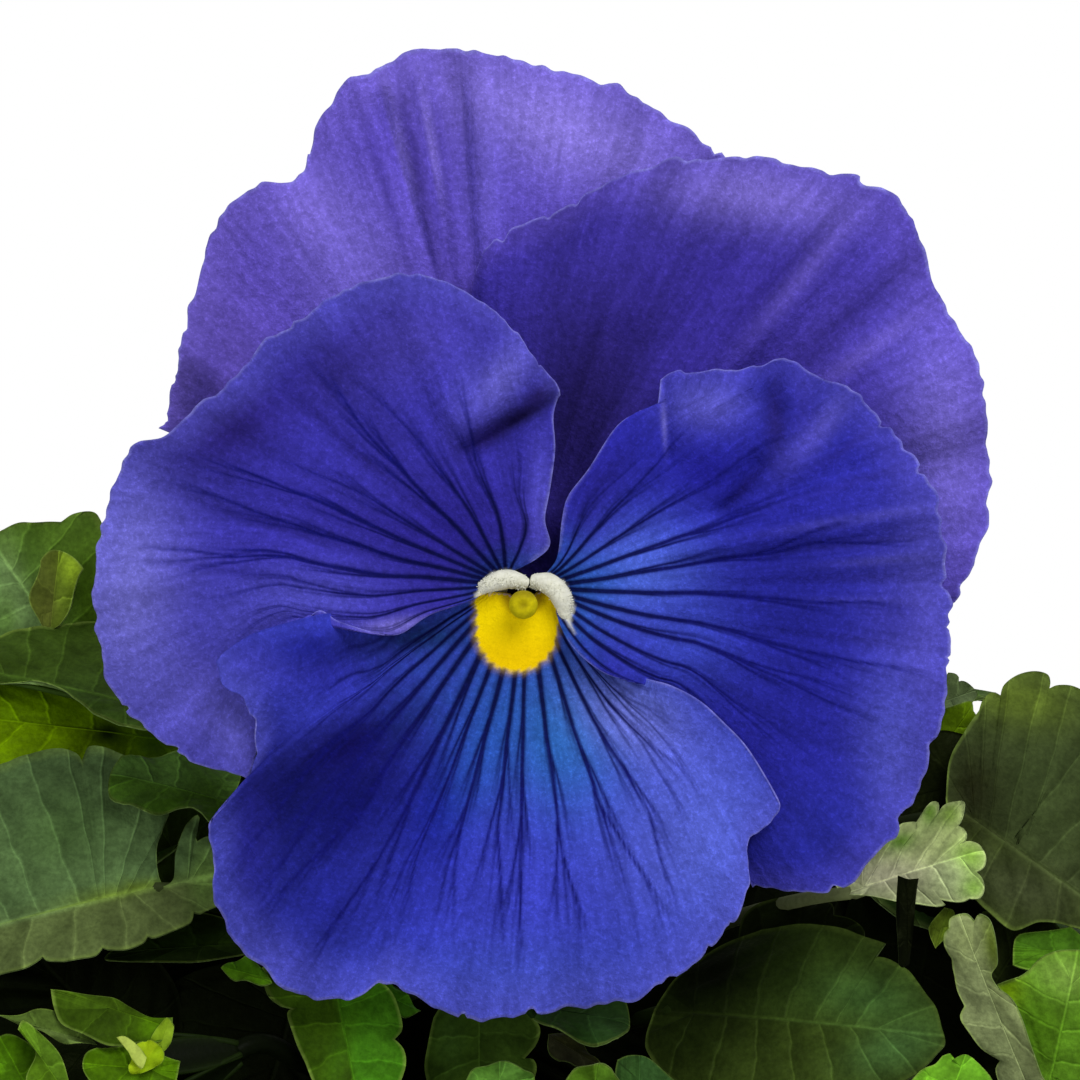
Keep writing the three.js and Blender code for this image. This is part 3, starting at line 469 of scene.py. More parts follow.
@dataclass(frozen=True)
class LeafFinish:
    """Leaf blade: waxy skin over green tissue, netted with paler veins.

    The wax gives a soft, broad highlight; the veins are pressed in from above.
    """

    name: str = "waxy_leaf_blade"
    side_veins: float = 6.5
    vein_slope: float = 1.15
    vein_bend: float = 0.82
    vein_width: float = 0.09
    midrib_width: float = 0.016
    roughness: float = 0.5
    grain_mm: float = 0.45
    mottle_mm: float = 2.6

    def veins(self, add: Callable) -> tuple:
        """Pinnate veins from the leaf's own UV: across 0 to 1, and along in count of veins.

        Each side vein starts at the midrib and bends towards the tip with a power of how far
        it has gone.

        Args:
            add: The function that adds a node to the material.

        Returns:
            How much of a vein lies at each place, and the count of veins passed.
        """
        uv = add("UVMap", uv_map="surface")
        right, along_leaf = (add("SeparateXYZ", (uv,), axis) for axis in "XY")
        lateral = add("Math", (add("Math", (right, 0.5), operation="SUBTRACT"),), operation="ABSOLUTE")
        wobble = add("TexNoise", {"Vector": uv, "Scale": 5.0, "Detail": 1.0})
        wobble = add("Math", (wobble, 0.5), operation="SUBTRACT")
        bent = add("Math", (wobble, 0.04, along_leaf), operation="MULTIPLY_ADD")
        curve = add("Math", (lateral, self.vein_bend), operation="POWER")
        curve = add("Math", (curve, self.vein_slope), operation="MULTIPLY")
        phase = add("Math", (bent, curve), operation="SUBTRACT")
        phase = add("Math", (phase, self.side_veins), operation="MULTIPLY")
        offset = add("Math", (add("Math", (phase,), operation="FRACT"), 0.5), operation="SUBTRACT")
        offset = add("Math", (offset,), operation="ABSOLUTE")
        thin = add("Math", (lateral, -self.vein_width, self.vein_width), operation="MULTIPLY_ADD")
        side = add("MapRange", (offset, 0.0, thin, 1.0, 0.0), interpolation_type="SMOOTHSTEP")
        side = add("Math", (side, 0.6), operation="MULTIPLY")
        middle = add("MapRange", (lateral, 0.0, self.midrib_width, 1.0, 0.0), interpolation_type="SMOOTHSTEP")
        return add("Math", (side, middle), operation="MAXIMUM"), phase

    def material(self) -> Material:
        """Colour from the mesh with its painted light and shade, pale veins, painted shade across the panels
        between them, and a fine mottle.
        """
        made, add = fresh_material(self.name)
        vein, phase = self.veins(add)
        place = add("TexCoord", output="Object")
        grain = add("TexNoise", {"Vector": place, "Scale": 1 / (self.grain_mm * MM), "Roughness": 0.6})
        mottle = add("TexNoise", {"Vector": place, "Scale": 1 / (self.mottle_mm * MM), "Detail": 4.0,
                                  "Roughness": 0.65})
        # painted shade: each panel between two side veins is lit by one vein and shaded towards the next
        panel_shade = add("Math", (add("Math", (phase, 0.5), operation="ADD"),), operation="FRACT")
        light = add("MapRange", (mottle, 0.3, 0.7, 0.72, 1.3))
        for factor in (add("MapRange", (grain, 0.35, 0.65, 0.86, 1.16)),
                       add("MapRange", (panel_shade, 0.0, 1.0, 1.14, 0.87), interpolation_type="SMOOTHERSTEP"),
                       add("Math", (vein, 0.8, 1.0), operation="MULTIPLY_ADD")):
            light = add("Math", (light, factor), operation="MULTIPLY")
        colour = add("Attribute", output="Color", attribute_name="colour_and_shade")
        body = add("VectorMath", {0: colour, "Scale": light}, operation="SCALE")
        rough = add("Math", (mottle, 0.6), operation="MULTIPLY")
        rough = add("Math", (grain, 0.5, rough), operation="MULTIPLY_ADD")
        height = add("Math", (vein, -0.9, rough), operation="MULTIPLY_ADD")
        relief = add("Bump", {"Height": height, "Strength": 0.5, "Distance": 0.3 * MM})
        add("OutputMaterial", {"Surface": add("BsdfPrincipled", {
            "Base Color": body, "Normal": relief, "Roughness": self.roughness, "IOR": 1.42,
            "Specular IOR Level": 0.08, "Specular Tint": rgba("#c9dc9a")})})
        return made


@dataclass(frozen=True)
class FleshFinish:
    """Fleshy plant tissue, such as stalks, sepals, a bud or a stigma: smooth, moist skin.

    It gives an even, soft colour with hardly any highlight.
    """

    name: str
    roughness: float = 0.45
    mottle_mm: float = 0.5
    grain: float = 0.16

    def material(self) -> Material:
        """Colour from the mesh, painted shade included where a part has it, with a soft mottle and a slight
        relief.
        """
        made, add = fresh_material(self.name)
        colour = add("Attribute", output="Color", attribute_name="colour_and_shade")
        mottle = add("TexNoise", {"Vector": add("TexCoord", output="Object"),
                                  "Scale": 1 / (self.mottle_mm * MM), "Detail": 3.0, "Roughness": 0.6})
        light = add("MapRange", (mottle, 0.3, 0.7, 1 - self.grain, 1 + self.grain))
        body = add("VectorMath", {0: colour, "Scale": light}, operation="SCALE")
        relief = add("Bump", {"Height": mottle, "Strength": 0.35, "Distance": 0.1 * MM})
        add("OutputMaterial", {"Surface": add("BsdfPrincipled", {
            "Base Color": body, "Normal": relief, "Roughness": self.roughness, "IOR": 1.4,
            "Specular IOR Level": 0.04})})
        return made


@dataclass(frozen=True)
class TerracottaFinish:
    """Terracotta: unglazed earthenware, thrown and fired.

    Matt and porous, with fine grog, faint turning lines and pale salts that the damp brings out.
    """

    name: str = "unglazed_terracotta"
    clay: str = "#b4633d"
    dark: str = "#8c4629"
    grit: str = "#d08c63"
    salt: str = "#d9c3ac"
    patch_mm: float = 26.0
    grog_mm: float = 0.7
    cloud_mm: float = 17.0
    turning_mm: float = 2.2

    def material(self) -> Material:
        """Mottled clay, turning lines round the pot, specks of grog and a bloom of salts."""
        made, add = fresh_material(self.name)
        place = add("TexCoord", output="Object")
        patch = add("TexNoise", {"Vector": place, "Scale": 1 / (self.patch_mm * MM), "Detail": 5.0,
                                 "Roughness": 0.6})
        blotch = add("MapRange", (patch, 0.35, 0.65))
        clay = add("Mix", {0: blotch, 6: rgba(self.dark), 7: rgba(self.clay)}, 2, data_type="RGBA")
        grog = add("TexNoise", {"Vector": place, "Scale": 1 / (self.grog_mm * MM)})
        speck = add("MapRange", (grog, 0.62, 0.72, 0.0, 0.35))
        clay = add("Mix", {0: speck, 6: clay, 7: rgba(self.grit)}, 2, data_type="RGBA")
        cloud = add("TexNoise", {"Vector": place, "Scale": 1 / (self.cloud_mm * MM), "Detail": 6.0,
                                 "Roughness": 0.72})
        salts = add("MapRange", (cloud, 0.56, 0.72, 0.0, 0.5))
        clay = add("Mix", {0: salts, 6: clay, 7: rgba(self.salt)}, 2, data_type="RGBA")
        flat = add("Mapping", {"Vector": place, "Scale": (4.0, 4.0, 1 / (self.turning_mm * MM))})
        lines = add("TexNoise", {"Vector": flat, "Scale": 1.0})
        height = add("Math", (lines, 0.6, grog), operation="MULTIPLY_ADD")
        relief = add("Bump", {"Height": height, "Strength": 0.5, "Distance": 0.4 * MM})
        add("OutputMaterial", {"Surface": add("BsdfPrincipled", {
            "Base Color": clay, "Normal": relief, "Roughness": 0.88, "Specular IOR Level": 0.25})})
        return made


@dataclass(frozen=True)
class PeatFinish:
    """Potting soil: moist peat, sieved into crumbs, dark and fully matt."""

    name: str = "moist_peat"
    dark: str = "#1d130c"
    brown: str = "#4a3220"
    crumb_mm: float = 2.4

    def material(self) -> Material:
        """Dark and brown crumbs, by noise at crumb size, tinted by the mesh's pigment."""
        made, add = fresh_material(self.name)
        crumbs = add("TexNoise", {"Vector": add("TexCoord", output="Object"),
                                  "Scale": 1 / (self.crumb_mm * MM), "Detail": 6.0, "Roughness": 0.75})
        tone = add("MapRange", (crumbs, 0.38, 0.66))
        peat = add("Mix", {0: tone, 6: rgba(self.dark), 7: rgba(self.brown)}, 2, data_type="RGBA")
        tint = add("Attribute", output="Color", attribute_name="colour_and_shade")
        peat = add("Mix", {0: 1.0, 6: peat, 7: tint}, 2, data_type="RGBA", blend_type="MULTIPLY")
        relief = add("Bump", {"Height": crumbs, "Strength": 0.9, "Distance": 1.0 * MM})
        add("OutputMaterial", {"Surface": add("BsdfPrincipled", {
            "Base Color": peat, "Normal": relief, "Roughness": 0.95, "Specular IOR Level": 0.2})})
        return made


# ------------------------------------------------------------------ petals
class PetalName(Enum):
    """The five petals, by the names of their nodes."""

    UPPER_LEFT = "petal_upper_left"
    UPPER_RIGHT = "petal_upper_right"
    SIDE_LEFT = "petal_side_left"
    SIDE_RIGHT = "petal_side_right"
    LOWER = "petal_lower"


@dataclass(frozen=True)
class Fold:
    """A ridge (height above 0) or valley along a straight stretch of the face, in mm."""

    start: tuple
    end: tuple
    width: float
    height: float


@dataclass(frozen=True)
class Patch:
    """A soft round area of the face in another colour, in mm: dye, painted shade and painted light."""

    x: float
    u: float
    across: float
    up: float
    turn: float
    colour: str
    strength: float

    def cover(self, x: Array, u: Array) -> Array:
        """How much of the patch's colour lies at each place, from 0 to its strength."""
        c, k = np.cos(self.turn), np.sin(self.turn)
        dx, du = x - self.x, u - self.u
        far = np.hypot((dx * c + du * k) / self.across, (du * c - dx * k) / self.up)
        return self.strength * bell(far, 1.0)


@dataclass(frozen=True)
class Vein:
    """A dark vein: its share across the petal, reach towards the rim, and width at the eye."""

    share: float
    reach: float
    width: float = 0.2


def places(text: str) -> tuple:
    """Points from a text of "right up" pairs, a comma after each."""
    return tuple(rows(text))


def folds(text: str) -> tuple:
    """Folds from a text: start right and up, end right and up, width, height; a comma after each."""
    return tuple(Fold(row[:2], row[2:4], *row[4:]) for row in rows(text))


def patches(text: str) -> tuple:
    """Patches from a text: right, up, reach across and up, turn, colour, strength; a comma after each."""
    return tuple(Patch(*row) for row in rows(text))


def veins(text: str) -> tuple:
    """Veins from a text: share across, reach and maybe width; a comma after each."""
    return tuple(Vein(*row) for row in rows(text))


@dataclass(frozen=True)
class PetalPlan:
    """Outline, layer, folds and colour of one petal, painted light and shade included, in mm right and up on
    the bloom's face.
    """

    name: PetalName
    slot: str
    claw: float
    neck: tuple
    neck_out: float
    layer: float
    grow: float
    side_a: tuple
    rim: tuple
    side_b: tuple
    waves: int
    wave_height: float
    folds: tuple
    base: str
    margin: str
    patches: tuple
    veins: tuple = ()
    streak_dark: float = 0.35
    neck_sag: float = 0.0
    halo: float = 0.3
    halo_reach: float = 19.0
    pleat: float = 0.2


PLANS = (
    PetalPlan(
        name=PetalName.UPPER_LEFT, slot="petal_upper", claw=125, neck=((-1.75, 3.1), (-0.5, 4.1)),
        neck_out=-11.4, layer=-10.6, grow=1.027, waves=5, wave_height=0.8, base="#5849b4", margin="#7464ca",
        streak_dark=0.4, pleat=0.4,
        side_a=places("-9 6.6, -21 11.5, -32.5 16.2"),
        rim=places(
            "-32.5 16.2, -30.8 22, -30.4 24.8, -28.5 32, -26.2 36.2, -23.4 38.2, -20.1 38.5, -18.8 42.4, "
            "-15.8 47.1, -12.6 48.4, -9.6 50.6, -6.2 50.4, -2.4 50, 4.7 48, 10.1 46.2, 16.3 42.1, 20.6 38, "
            "22 31"),
        side_b=places("2.6 8.5, 8 16, 15 24, 22 31"),
        folds=folds(
            "-6 14 -12.5 44 1.6 -1.3, -9 12 -19 37 2.6 1.1, -2 18 -3.5 45 1.6 0.9, -5 22 -9.5 47 0.7 -0.7, "
            "-6 24 -12.6 46 0.6 -0.6, -3.5 22 -5.5 47 0.7 -0.5"),
        patches=patches(
            "3 44 13 5 -0.4 #8476d2 0.9, -8 42 3.4 10 0.25 #4d3f9a 0.35, -27 24 5 10 0.1 #5f4fae 0.75, -15 "
            "31 5 8 0.4 #7466cc 0.8, -9 22 5 4 0.3 #4c3f9c 0.5, -30 20 3.2 6 0.2 #352b74 0.95, -9.6 40 0.55 "
            "8 0.2 #2c2170 0.7, -12.4 38 0.5 8 0.3 #332879 0.6, -6.9 38 0.5 10 0.14 #33287c 0.5, -3.6 37.5 "
            "2.2 6 0 #6c60c8 0.5, -4.2 36 0.5 9 0.08 #5c50b4 0.4, -11 42 0.5 6 0.26 #8577cc 0.6, -8.2 42 "
            "0.45 6 0.18 #8577cc 0.5, -19 36 3.4 4 0.4 #7a6bc6 0.5"),
    ),
    PetalPlan(
        name=PetalName.UPPER_RIGHT, slot="petal_upper", claw=55, neck=((-0.4, 3.7), (1.9, 3.0)),
        neck_out=-9.6, layer=-7, grow=1.017, waves=5, wave_height=0.8, base="#382e94", margin="#5f50b8",
        streak_dark=0.45, pleat=0.45,
        side_a=places("-1.2 9.5, -3 16, -4.8 24, -4.6 28.8"),
        rim=places(
            "-4.6 28.8, -3.7 31.6, -1.9 33.7, 3 35.7, 7.5 38.4, 12.7 40.3, 17.7 40.4, 21.7 40.6, 26.2 39.7, "
            "30.8 38.5, 34.2 36.1, 36.1 32.3, 37.4 28.3, 40.2 24, 41.4 19.8, 42 15, 41.9 9, 40.9 5, 38.7 "
            "0.8, 36.5 -2"),
        side_b=places("7 2.3, 16 1.4, 27 -0.6, 36.5 -2"),
        folds=folds("2 12 8 24 2.6 -1.0, 10 14 24 30 3.2 0.8"),
        patches=patches(
            "6 18 6 12 -0.4 #1c144c 0.9, 30 26 9 9 0 #4a3ea4 0.6, 22 29 1.0 9 -0.75 #2a2078 0.6, 26 31 0.9 "
            "8 -0.7 #6658ba 0.5, 18 31 0.9 9 -0.6 #2a2078 0.6, 12 31 0.8 7 -0.4 #2a2078 0.5, 32 24 0.9 8 "
            "-0.95 #6a5cc0 0.5, 29 26 0.8 8 -0.85 #30267e 0.5, 39 16 5 12 0 #7a6dd2 0.85, 12 34 12 4 0.2 "
            "#3a3092 0.6, 21 38 9 3.4 -0.12 #8072d0 0.85, 15 26 3 9 -0.6 #33298a 0.6"),
    ),
    PetalPlan(
        name=PetalName.SIDE_LEFT, slot="petal_side", claw=190, neck=((-0.95, 3.5), (-3.0, 1.9)),
        neck_out=-4.5, layer=-2.6, grow=1.006, waves=4, wave_height=0.7, base="#332e98", margin="#5653b8",
        halo=0.35, halo_reach=7.0,
        side_a=places("1.3 4.7, 2.5 6, 2.05 8.2, 2.5 10.9, 2.95 14.5, 2.8 17.6, 3.5 20"),
        rim=places(
            "3.5 20, 1.6 22, 0 24.2, -1.3 25.8, -5.1 28.8, -10 30.1, -14.9 29.2, -17.6 27.6, -23.2 23.9, "
            "-25.2 21.1, -29 18.3, -32.3 15.8, -35.2 14.5, -37.3 10, -38.3 4.6, -38 -3.4, -36.3 -8.3, -32.3 "
            "-11.5, -28.8 -13.7, -24.4 -15"),
        side_b=places(
            "-4.7 0.9, -8.2 -0.3, -10.9 -2.0, -13.1 -1.85, -16.3 -0.9, -18.4 0, -20.5 -3.2, -22.5 -8.5, "
            "-24.4 -15"),
        folds=folds(
            "-4.8 14.4 2.8 18.6 1.1 -1.3, -5 17.5 -0.5 22.5 1.8 1.2, -13 -2 -6 0.4 3.4 1.6, -9 3.5 -33 11 "
            "1.0 -0.35, -7 7 -24 21 1.0 -0.4, -4 9 -12 26 0.9 -0.35"),
        patches=patches(
            "-37 2 6 12 0 #7270ca 0.9, -29 -8 8 5 0.2 #5450b4 0.85, -25.6 -11 2.6 4.5 0.3 #6360c8 0.8, "
            "-32.3 -6 3 4 0.2 #5e5cc0 0.4, -10 25 8 5 0.2 #4a42aa 0.75, -1.8 20.8 1.9 4.2 -0.65 #625ec4 "
            "0.9, -5.2 20 1.6 4.0 -0.2 #4b47ac 0.5, -0.2 17.5 4.6 0.95 0.5 #100a32 1.0, -3.2 15.6 2.6 1.1 "
            "0.6 #1c1454 0.9, 1.6 19.4 1.6 0.8 0.6 #2a2068 0.8, -26 16.5 6 3.4 0.5 #251b68 0.85, -16 22 5 3 "
            "0.5 #2c2478 0.6, -6.5 7 6 5 0.5 #251d84 0.7, -3 3.6 2.4 1.8 0.5 #14286c 0.6, 1.8 9 1.3 6 0 "
            "#4c48b2 0.8, -19.5 1.0 6 2.8 0 #5250c4 0.95, -26 -1.5 3.5 3.4 0 #4a48b4 0.8, -14 8 10 1.2 "
            "-0.35 #221b74 0.5, -22 7.5 9 0.5 -0.3 #1a145c 0.5, -26 3.6 8 0.4 -0.12 #1f1a6a 0.5, -15 14.5 8 "
            "0.5 -0.75 #1a145c 0.5, -11 -1.3 3.8 0.75 0.12 #7068c6 0.95"),
        veins=veins(
            "0.1 0.35 0.16, 0.2 0.42, 0.29 0.5, 0.37 0.75 0.24, 0.45 0.5 0.22, 0.52 0.9 0.29, 0.6 0.6 0.24, "
            "0.68 0.85 0.27, 0.76 0.46, 0.85 0.4, 0.93 0.3 0.15"),
    ),
    PetalPlan(
        name=PetalName.SIDE_RIGHT, slot="petal_side", claw=350, neck=((2.15, 3.4), (2.9, 0.9)),
        neck_out=-4.5, layer=-3.1, grow=1.007, waves=4, wave_height=0.7, base="#28289c", margin="#4f4bb4",
        halo=0.5, halo_reach=10.0,
        side_a=places("3.15 4.9, 3.55 8.2, 4.1 10.3, 5.9 12.7, 8.6 16.7, 11.6 18.3, 12.2 18.7, 12.5 20.9"),
        rim=places(
            "12.5 20.9, 13.6 21.3, 16.8 21.5, 19.3 21.6, 21.2 22.0, 22.9 22.6, 24.6 22.4, 27 20.8, 30.2 "
            "19.4, 33.6 15.8, 36.5 11.8, 37.8 6.5, 38.5 1.5, 38.2 -4, 37.4 -10, 35 -17, 32 -21.8, 28.2 -25, "
            "24.5 -25.2, 20.5 -24.6"),
        side_b=places("3.4 -1.2, 4.7 -3.4, 7 -5.3, 9.2 -6.05, 11.5 -6.3, 13.3 -10, 16.5 -17, 20.5 -24.6"),
        folds=folds(
            "12.9 14 12.6 20.5 0.8 -0.7, 22.6 22 22.4 18 1.2 -1.0, 21 13 18.2 9.2 1.0 -1.2, 16.5 15 17.5 21 "
            "2.2 0.9, 4.5 -3 9 -5.6 3 1.5, 14 4 36 6.5 0.9 -0.5, 14 5.5 36 9 0.9 0.4, 14 2 37 2.5 0.9 -0.4, "
            "14 8 33 14 0.9 -0.4, 14 -1 37 -4 1.0 -0.3"),
        patches=patches(
            "16.6 18.6 3.8 2.4 0 #5d5bc4 0.8, 22.7 17 1.1 4.4 0.03 #231d66 0.9, 19.7 10.9 0.7 2.9 -0.78 "
            "#120c44 0.95, 26.8 16.6 1.3 4.5 -0.7 #5c57c4 0.85, 25.2 18.5 1.2 3 0 #3c37a8 0.7, 12.7 16.8 "
            "0.28 2.0 0.05 #7e7ad4 0.6, 29 14.6 3.6 0.45 0.6 #25207c 0.75, 16.5 12 3.4 2.4 0 #1f1c90 0.8, "
            "10.2 3.4 5.6 4.4 0.2 #5068da 0.9, 14.5 -2.6 5.5 4.5 0 #3a48b8 0.75, 30 6.1 8 0.5 0.12 #1b165e "
            "0.8, 31 8.4 7 0.45 0.16 #6662c6 0.6, 30 3.0 8 0.45 0.03 #211c6c 0.7, 30 11.6 6 0.4 0.3 #26207a "
            "0.6, 33 4.6 5 0.4 0.08 #6864c8 0.6, 29 -2.4 9 0.45 -0.12 #1b165e 0.5, 32 0.8 6 0.4 -0.02 "
            "#5e5abf 0.4, 6 2.6 3.6 2.4 0.1 #2c5cc0 0.7, 36.5 0 5 14 0 #4f4cae 0.85, 27 -20 9 6 0 #23288a "
            "0.7, 24 0 7 10 0 #191c76 0.65, 33.6 -13 3.2 7 0.1 #5458c8 0.85, 33.4 -0.7 2.6 2.4 0 #2e2b88 "
            "0.6, 6.6 10.6 2.6 5 -0.5 #221c78 0.6, 30 8 6 8 0 #2b2b94 0.5"),
        veins=veins(
            "0.08 0.3 0.16, 0.17 0.42, 0.26 0.55, 0.35 0.62 0.25, 0.44 0.72 0.28, 0.53 0.78 0.28, 0.62 0.7 "
            "0.27, 0.7 0.62 0.25, 0.78 0.56, 0.86 0.46, 0.94 0.34 0.15"),
    ),
    PetalPlan(
        name=PetalName.LOWER, slot="petal_lower", claw=270, neck=((-3.9, 1.7), (3.3, 2.0)), neck_out=-3.7,
        layer=-4.2, grow=1.0, neck_sag=1.6, waves=7, wave_height=0.7, base="#383fb8", margin="#5557bc",
        side_a=places(
            "-4.9 1.3, -8 1.0, -12.2 0.3, -14.6 -0.5, -16.3 -0.5, -17.7 -0.2, -21.0 -1.0, -24.3 -2.1, -26.8 "
            "-3.9, -27.2 -4.6"),
        rim=places(
            "-27.2 -4.6, -26.6 -6.4, -24.5 -8.3, -23.7 -11.3, -24.0 -14.0, -25.1 -16.0, -26.9 -17.7, -28.1 "
            "-19.4, -27.6 -21.7, -27.6 -26.4, -25.4 -30.1, -22.9 -32.5, -20 -34.6, -15.9 -35, -12.6 -33.5, "
            "-10 -34.5, -6.5 -36, -1.6 -36.5, 4 -35.8, 10.5 -34.4, 15.4 -31.4, 17.9 -29.3, 20.2 -25, 20.2 "
            "-21.2, 22.9 -18.1, 22.9 -16.8"),
        side_b=places(
            "4.1 -0.9, 6.3 -3.2, 9.2 -5.3, 11.2 -6.05, 13.3 -6.6, 15.9 -8.0, 18.0 -9.9, 20.3 -12.4, 22.9 "
            "-16.8"),
        folds=folds("-4 -12 -14 -31 2.6 -0.9, 3 -14 6 -33 3.0 0.7"),
        patches=patches(
            "-15.5 -17.5 12 7.5 0.75 #0c0e60 0.97, -16 -12.3 9.5 2.8 0.46 #0a074c 0.97, -18 -5.4 6 2.6 0.05 "
            "#2c2e9e 0.9, -24.8 -4.8 3.4 3.0 0 #4040ae 0.95, -19 -3.2 3.4 1.7 0.1 #1c2084 0.9, -23 -10.5 "
            "3.0 3.6 0.3 #24267c 0.7, -22 -17 4 5 0 #070a48 0.85, -9.2 -2.4 4.6 1.2 0.08 #110a48 0.95, -8 "
            "-19.5 3.2 8 -0.35 #0c167a 0.95, -17 -27 5 5 -0.6 #20248e 0.85, -24.8 -22 2.6 8 0 #23217e 0.7, "
            "16 -20 8 11 0.3 #5562cc 0.9, 0 -33 14 4 0 #4250be 0.8, 3.5 -11 5.5 6.5 0.3 #2a64b4 0.95, -3 "
            "-12 3 6 -0.3 #2450a8 0.7, 9.5 -9 5 3.4 -0.6 #747cde 0.9, -23 -33 5 4 0 #4040a4 0.6, -10 -26 5 "
            "8 -0.4 #2a2f9c 0.6"),
        veins=veins(
            "0.05 0.35 0.17, 0.11 0.48, 0.17 0.6, 0.23 0.72 0.24, 0.29 0.78 0.26, 0.35 0.8 0.28, 0.41 0.72 "
            "0.28, 0.465 0.66 0.27, 0.52 0.8 0.28, 0.575 0.62 0.27, 0.63 0.78 0.27, 0.69 0.82 0.27, 0.75 "
            "0.7 0.25, 0.81 0.66 0.24, 0.87 0.58, 0.93 0.46, 0.97 0.3 0.15"),
    ),
)


@dataclass
class Bloom:
    """The open bloom: petals, beards, pistil and stamens.

    A petal is a fan: s runs from one side edge to the other, t from the claw's foot to the rim.
    """

    calyx_depth: float = CALYX_DEPTH
    gap: float = 0.3
    claw_ring: float = 2.45
    claw_width: float = 1.3
    claw_share: float = 0.12
    petal_thick: float = 0.34
    rim_thick: float = 0.14
    across: int = 320
    down: int = 140
    lip_rise: float = 4.0
    fork_spread: float = 0.085
    vein_reach: float = 1.4
    branches: int = 4
    vein_width: float = 1.1
    finest_vein: float = 0.15
    beard_out: float = -3.2
    hairs: int = 700
    knob: float = 1.3
    knob_at: tuple = (0.1, 0.6, -1.9)
    eye_at: tuple = (-0.52, -1.8)
    eye_radius: float = 3.72
    notch_width: float = 0.8   # the lower petal's neck dips here, behind the stigma
    lip_left: tuple = (14.2, 20.5)
    lip_right: tuple = (8.6, 13.4)

    def lip(self, x: Array, u: Array) -> Array:
        """How far the lower petal rises over its neighbours: low by the eye, high further out."""
        edge = np.where(x < 0, ramp(*self.lip_left, -x), ramp(*self.lip_right, x))
        open_field = ramp(6, 32, np.hypot(x, u))
        return self.lip_rise * mix(open_field, edge, ramp(-13, -6, u))

    def depth(self, plan: PetalPlan, x: Array, u: Array, s: Array, edge: Array) -> Array:
        """Out-of-face depth: layer, shallow dome, funnel at the neck, rim waves and folds."""
        neck_x, neck_u = np.mean(np.array(plan.neck), axis=0)
        out = plan.layer - 0.0011 * (x * x + u * u)
        out = out + (plan.neck_out - plan.layer) * bell(np.hypot(x - neck_x, u - neck_u), 3)
        out = out + plan.wave_height * edge ** 3 * np.sin(TAU * plan.waves * s + plan.claw)
        for fold in plan.folds:
            out = out + fold.height * bell(to_line(x, u, fold.start, fold.end), fold.width)
        if plan.name is PetalName.LOWER:
            out = out + self.lip(x, u)
        return out

    def beyond_claw(self, t: Array) -> Array:
        """Share of the blade's length, from 0 at the neck to 1 at the rim."""
        return np.clip((t - self.claw_share) / (1 - self.claw_share), 0, 1)

    def surface(self, plan: PetalPlan, s: Array, t: Array) -> tuple:
        """Middle surface of a petal.

        From the claw's foot to the neck it climbs out of the throat. Beyond, each point lies on
        the straight line from neck to rim, moved by how far the side edges bow, which fades
        with the fourth power of the distance from each side.

        Args:
            plan: The petal.
            s: Shares across, as a grid.
            t: Shares from foot to rim, as a grid.

        Returns:
            Points, and their place right and up on the face.
        """
        a, b = np.array(plan.neck[0]), np.array(plan.neck[1])
        neck = mix(a, b, s[..., None])
        notch = plan.neck_sag * bell(neck[..., 0] - 0.1, self.notch_width)
        neck = neck - np.stack([0 * s, notch], -1)
        q = np.clip(t / self.claw_share, 0, 1)
        turn = np.radians(plan.claw)
        sway = unit(b - a)
        foot = self.claw_ring * np.array([np.cos(turn), np.sin(turn)])
        foot = foot + sway * (self.claw_width * (s[..., None] - 0.5))
        swell = (q * q * (1.6 - 0.6 * q))[..., None]
        claw = mix(foot, neck, swell)
        neck_depth = self.depth(plan, neck[..., 0], neck[..., 1], s, np.zeros_like(s))
        claw_out = mix(-self.calyx_depth + self.gap, neck_depth, np.sin(q * np.pi / 2))

        v = self.beyond_claw(t)
        rim = along(plan.rim, s)
        line = v[..., None]
        bow_a = along([plan.neck[0], *plan.side_a], v) - mix(a, np.array(plan.rim[0]), line)
        bow_b = along([plan.neck[1], *plan.side_b], v) - mix(b, np.array(plan.rim[-1]), line)
        blade = mix(neck, rim, line) + bow_a * ((1 - s) ** 4)[..., None] + bow_b * (s ** 4)[..., None]
        # frill of the margin: waves about 2 mm and 1 mm long, and some sharper nicks
        frill = lattice_noise(s * 46 + plan.claw, v * 2.0, 5) * 0.26 * ramp(0.8, 1.0, v)
        frill = frill + lattice_noise(s * 97 + plan.claw, v, 6) * 0.2 * ramp(0.93, 1.0, v)
        frill = frill - 0.5 * ramp(0.62, 0.95, lattice_noise(s * 58 + plan.claw, v, 7)) * ramp(0.94, 1.0, v)
        blade = blade + unit(blade) * frill[..., None]
        x, u = blade[..., 0], blade[..., 1]
        out = self.depth(plan, x, u, s, v)
        pleats = lattice_noise(s * 24 + plan.claw, v * 2.0, 9) * plan.pleat * ramp(0.15, 0.6, v)
        ruffle = lattice_noise(s * 15 + plan.claw, v * 1.5, 11) * 0.3 * ramp(0.5, 1.0, v)
        out = out + pleats + ruffle
        size = mix(1, plan.grow, ramp(0, 0.4, v))
        in_claw = t < self.claw_share
        px = np.where(in_claw, claw[..., 0], x * size)
        pu = np.where(in_claw, claw[..., 1], u * size)
        pn = np.where(in_claw, claw_out, out)
        return on_face(px, pu, pn), np.where(in_claw, claw[..., 0], x), np.where(in_claw, claw[..., 1], u)

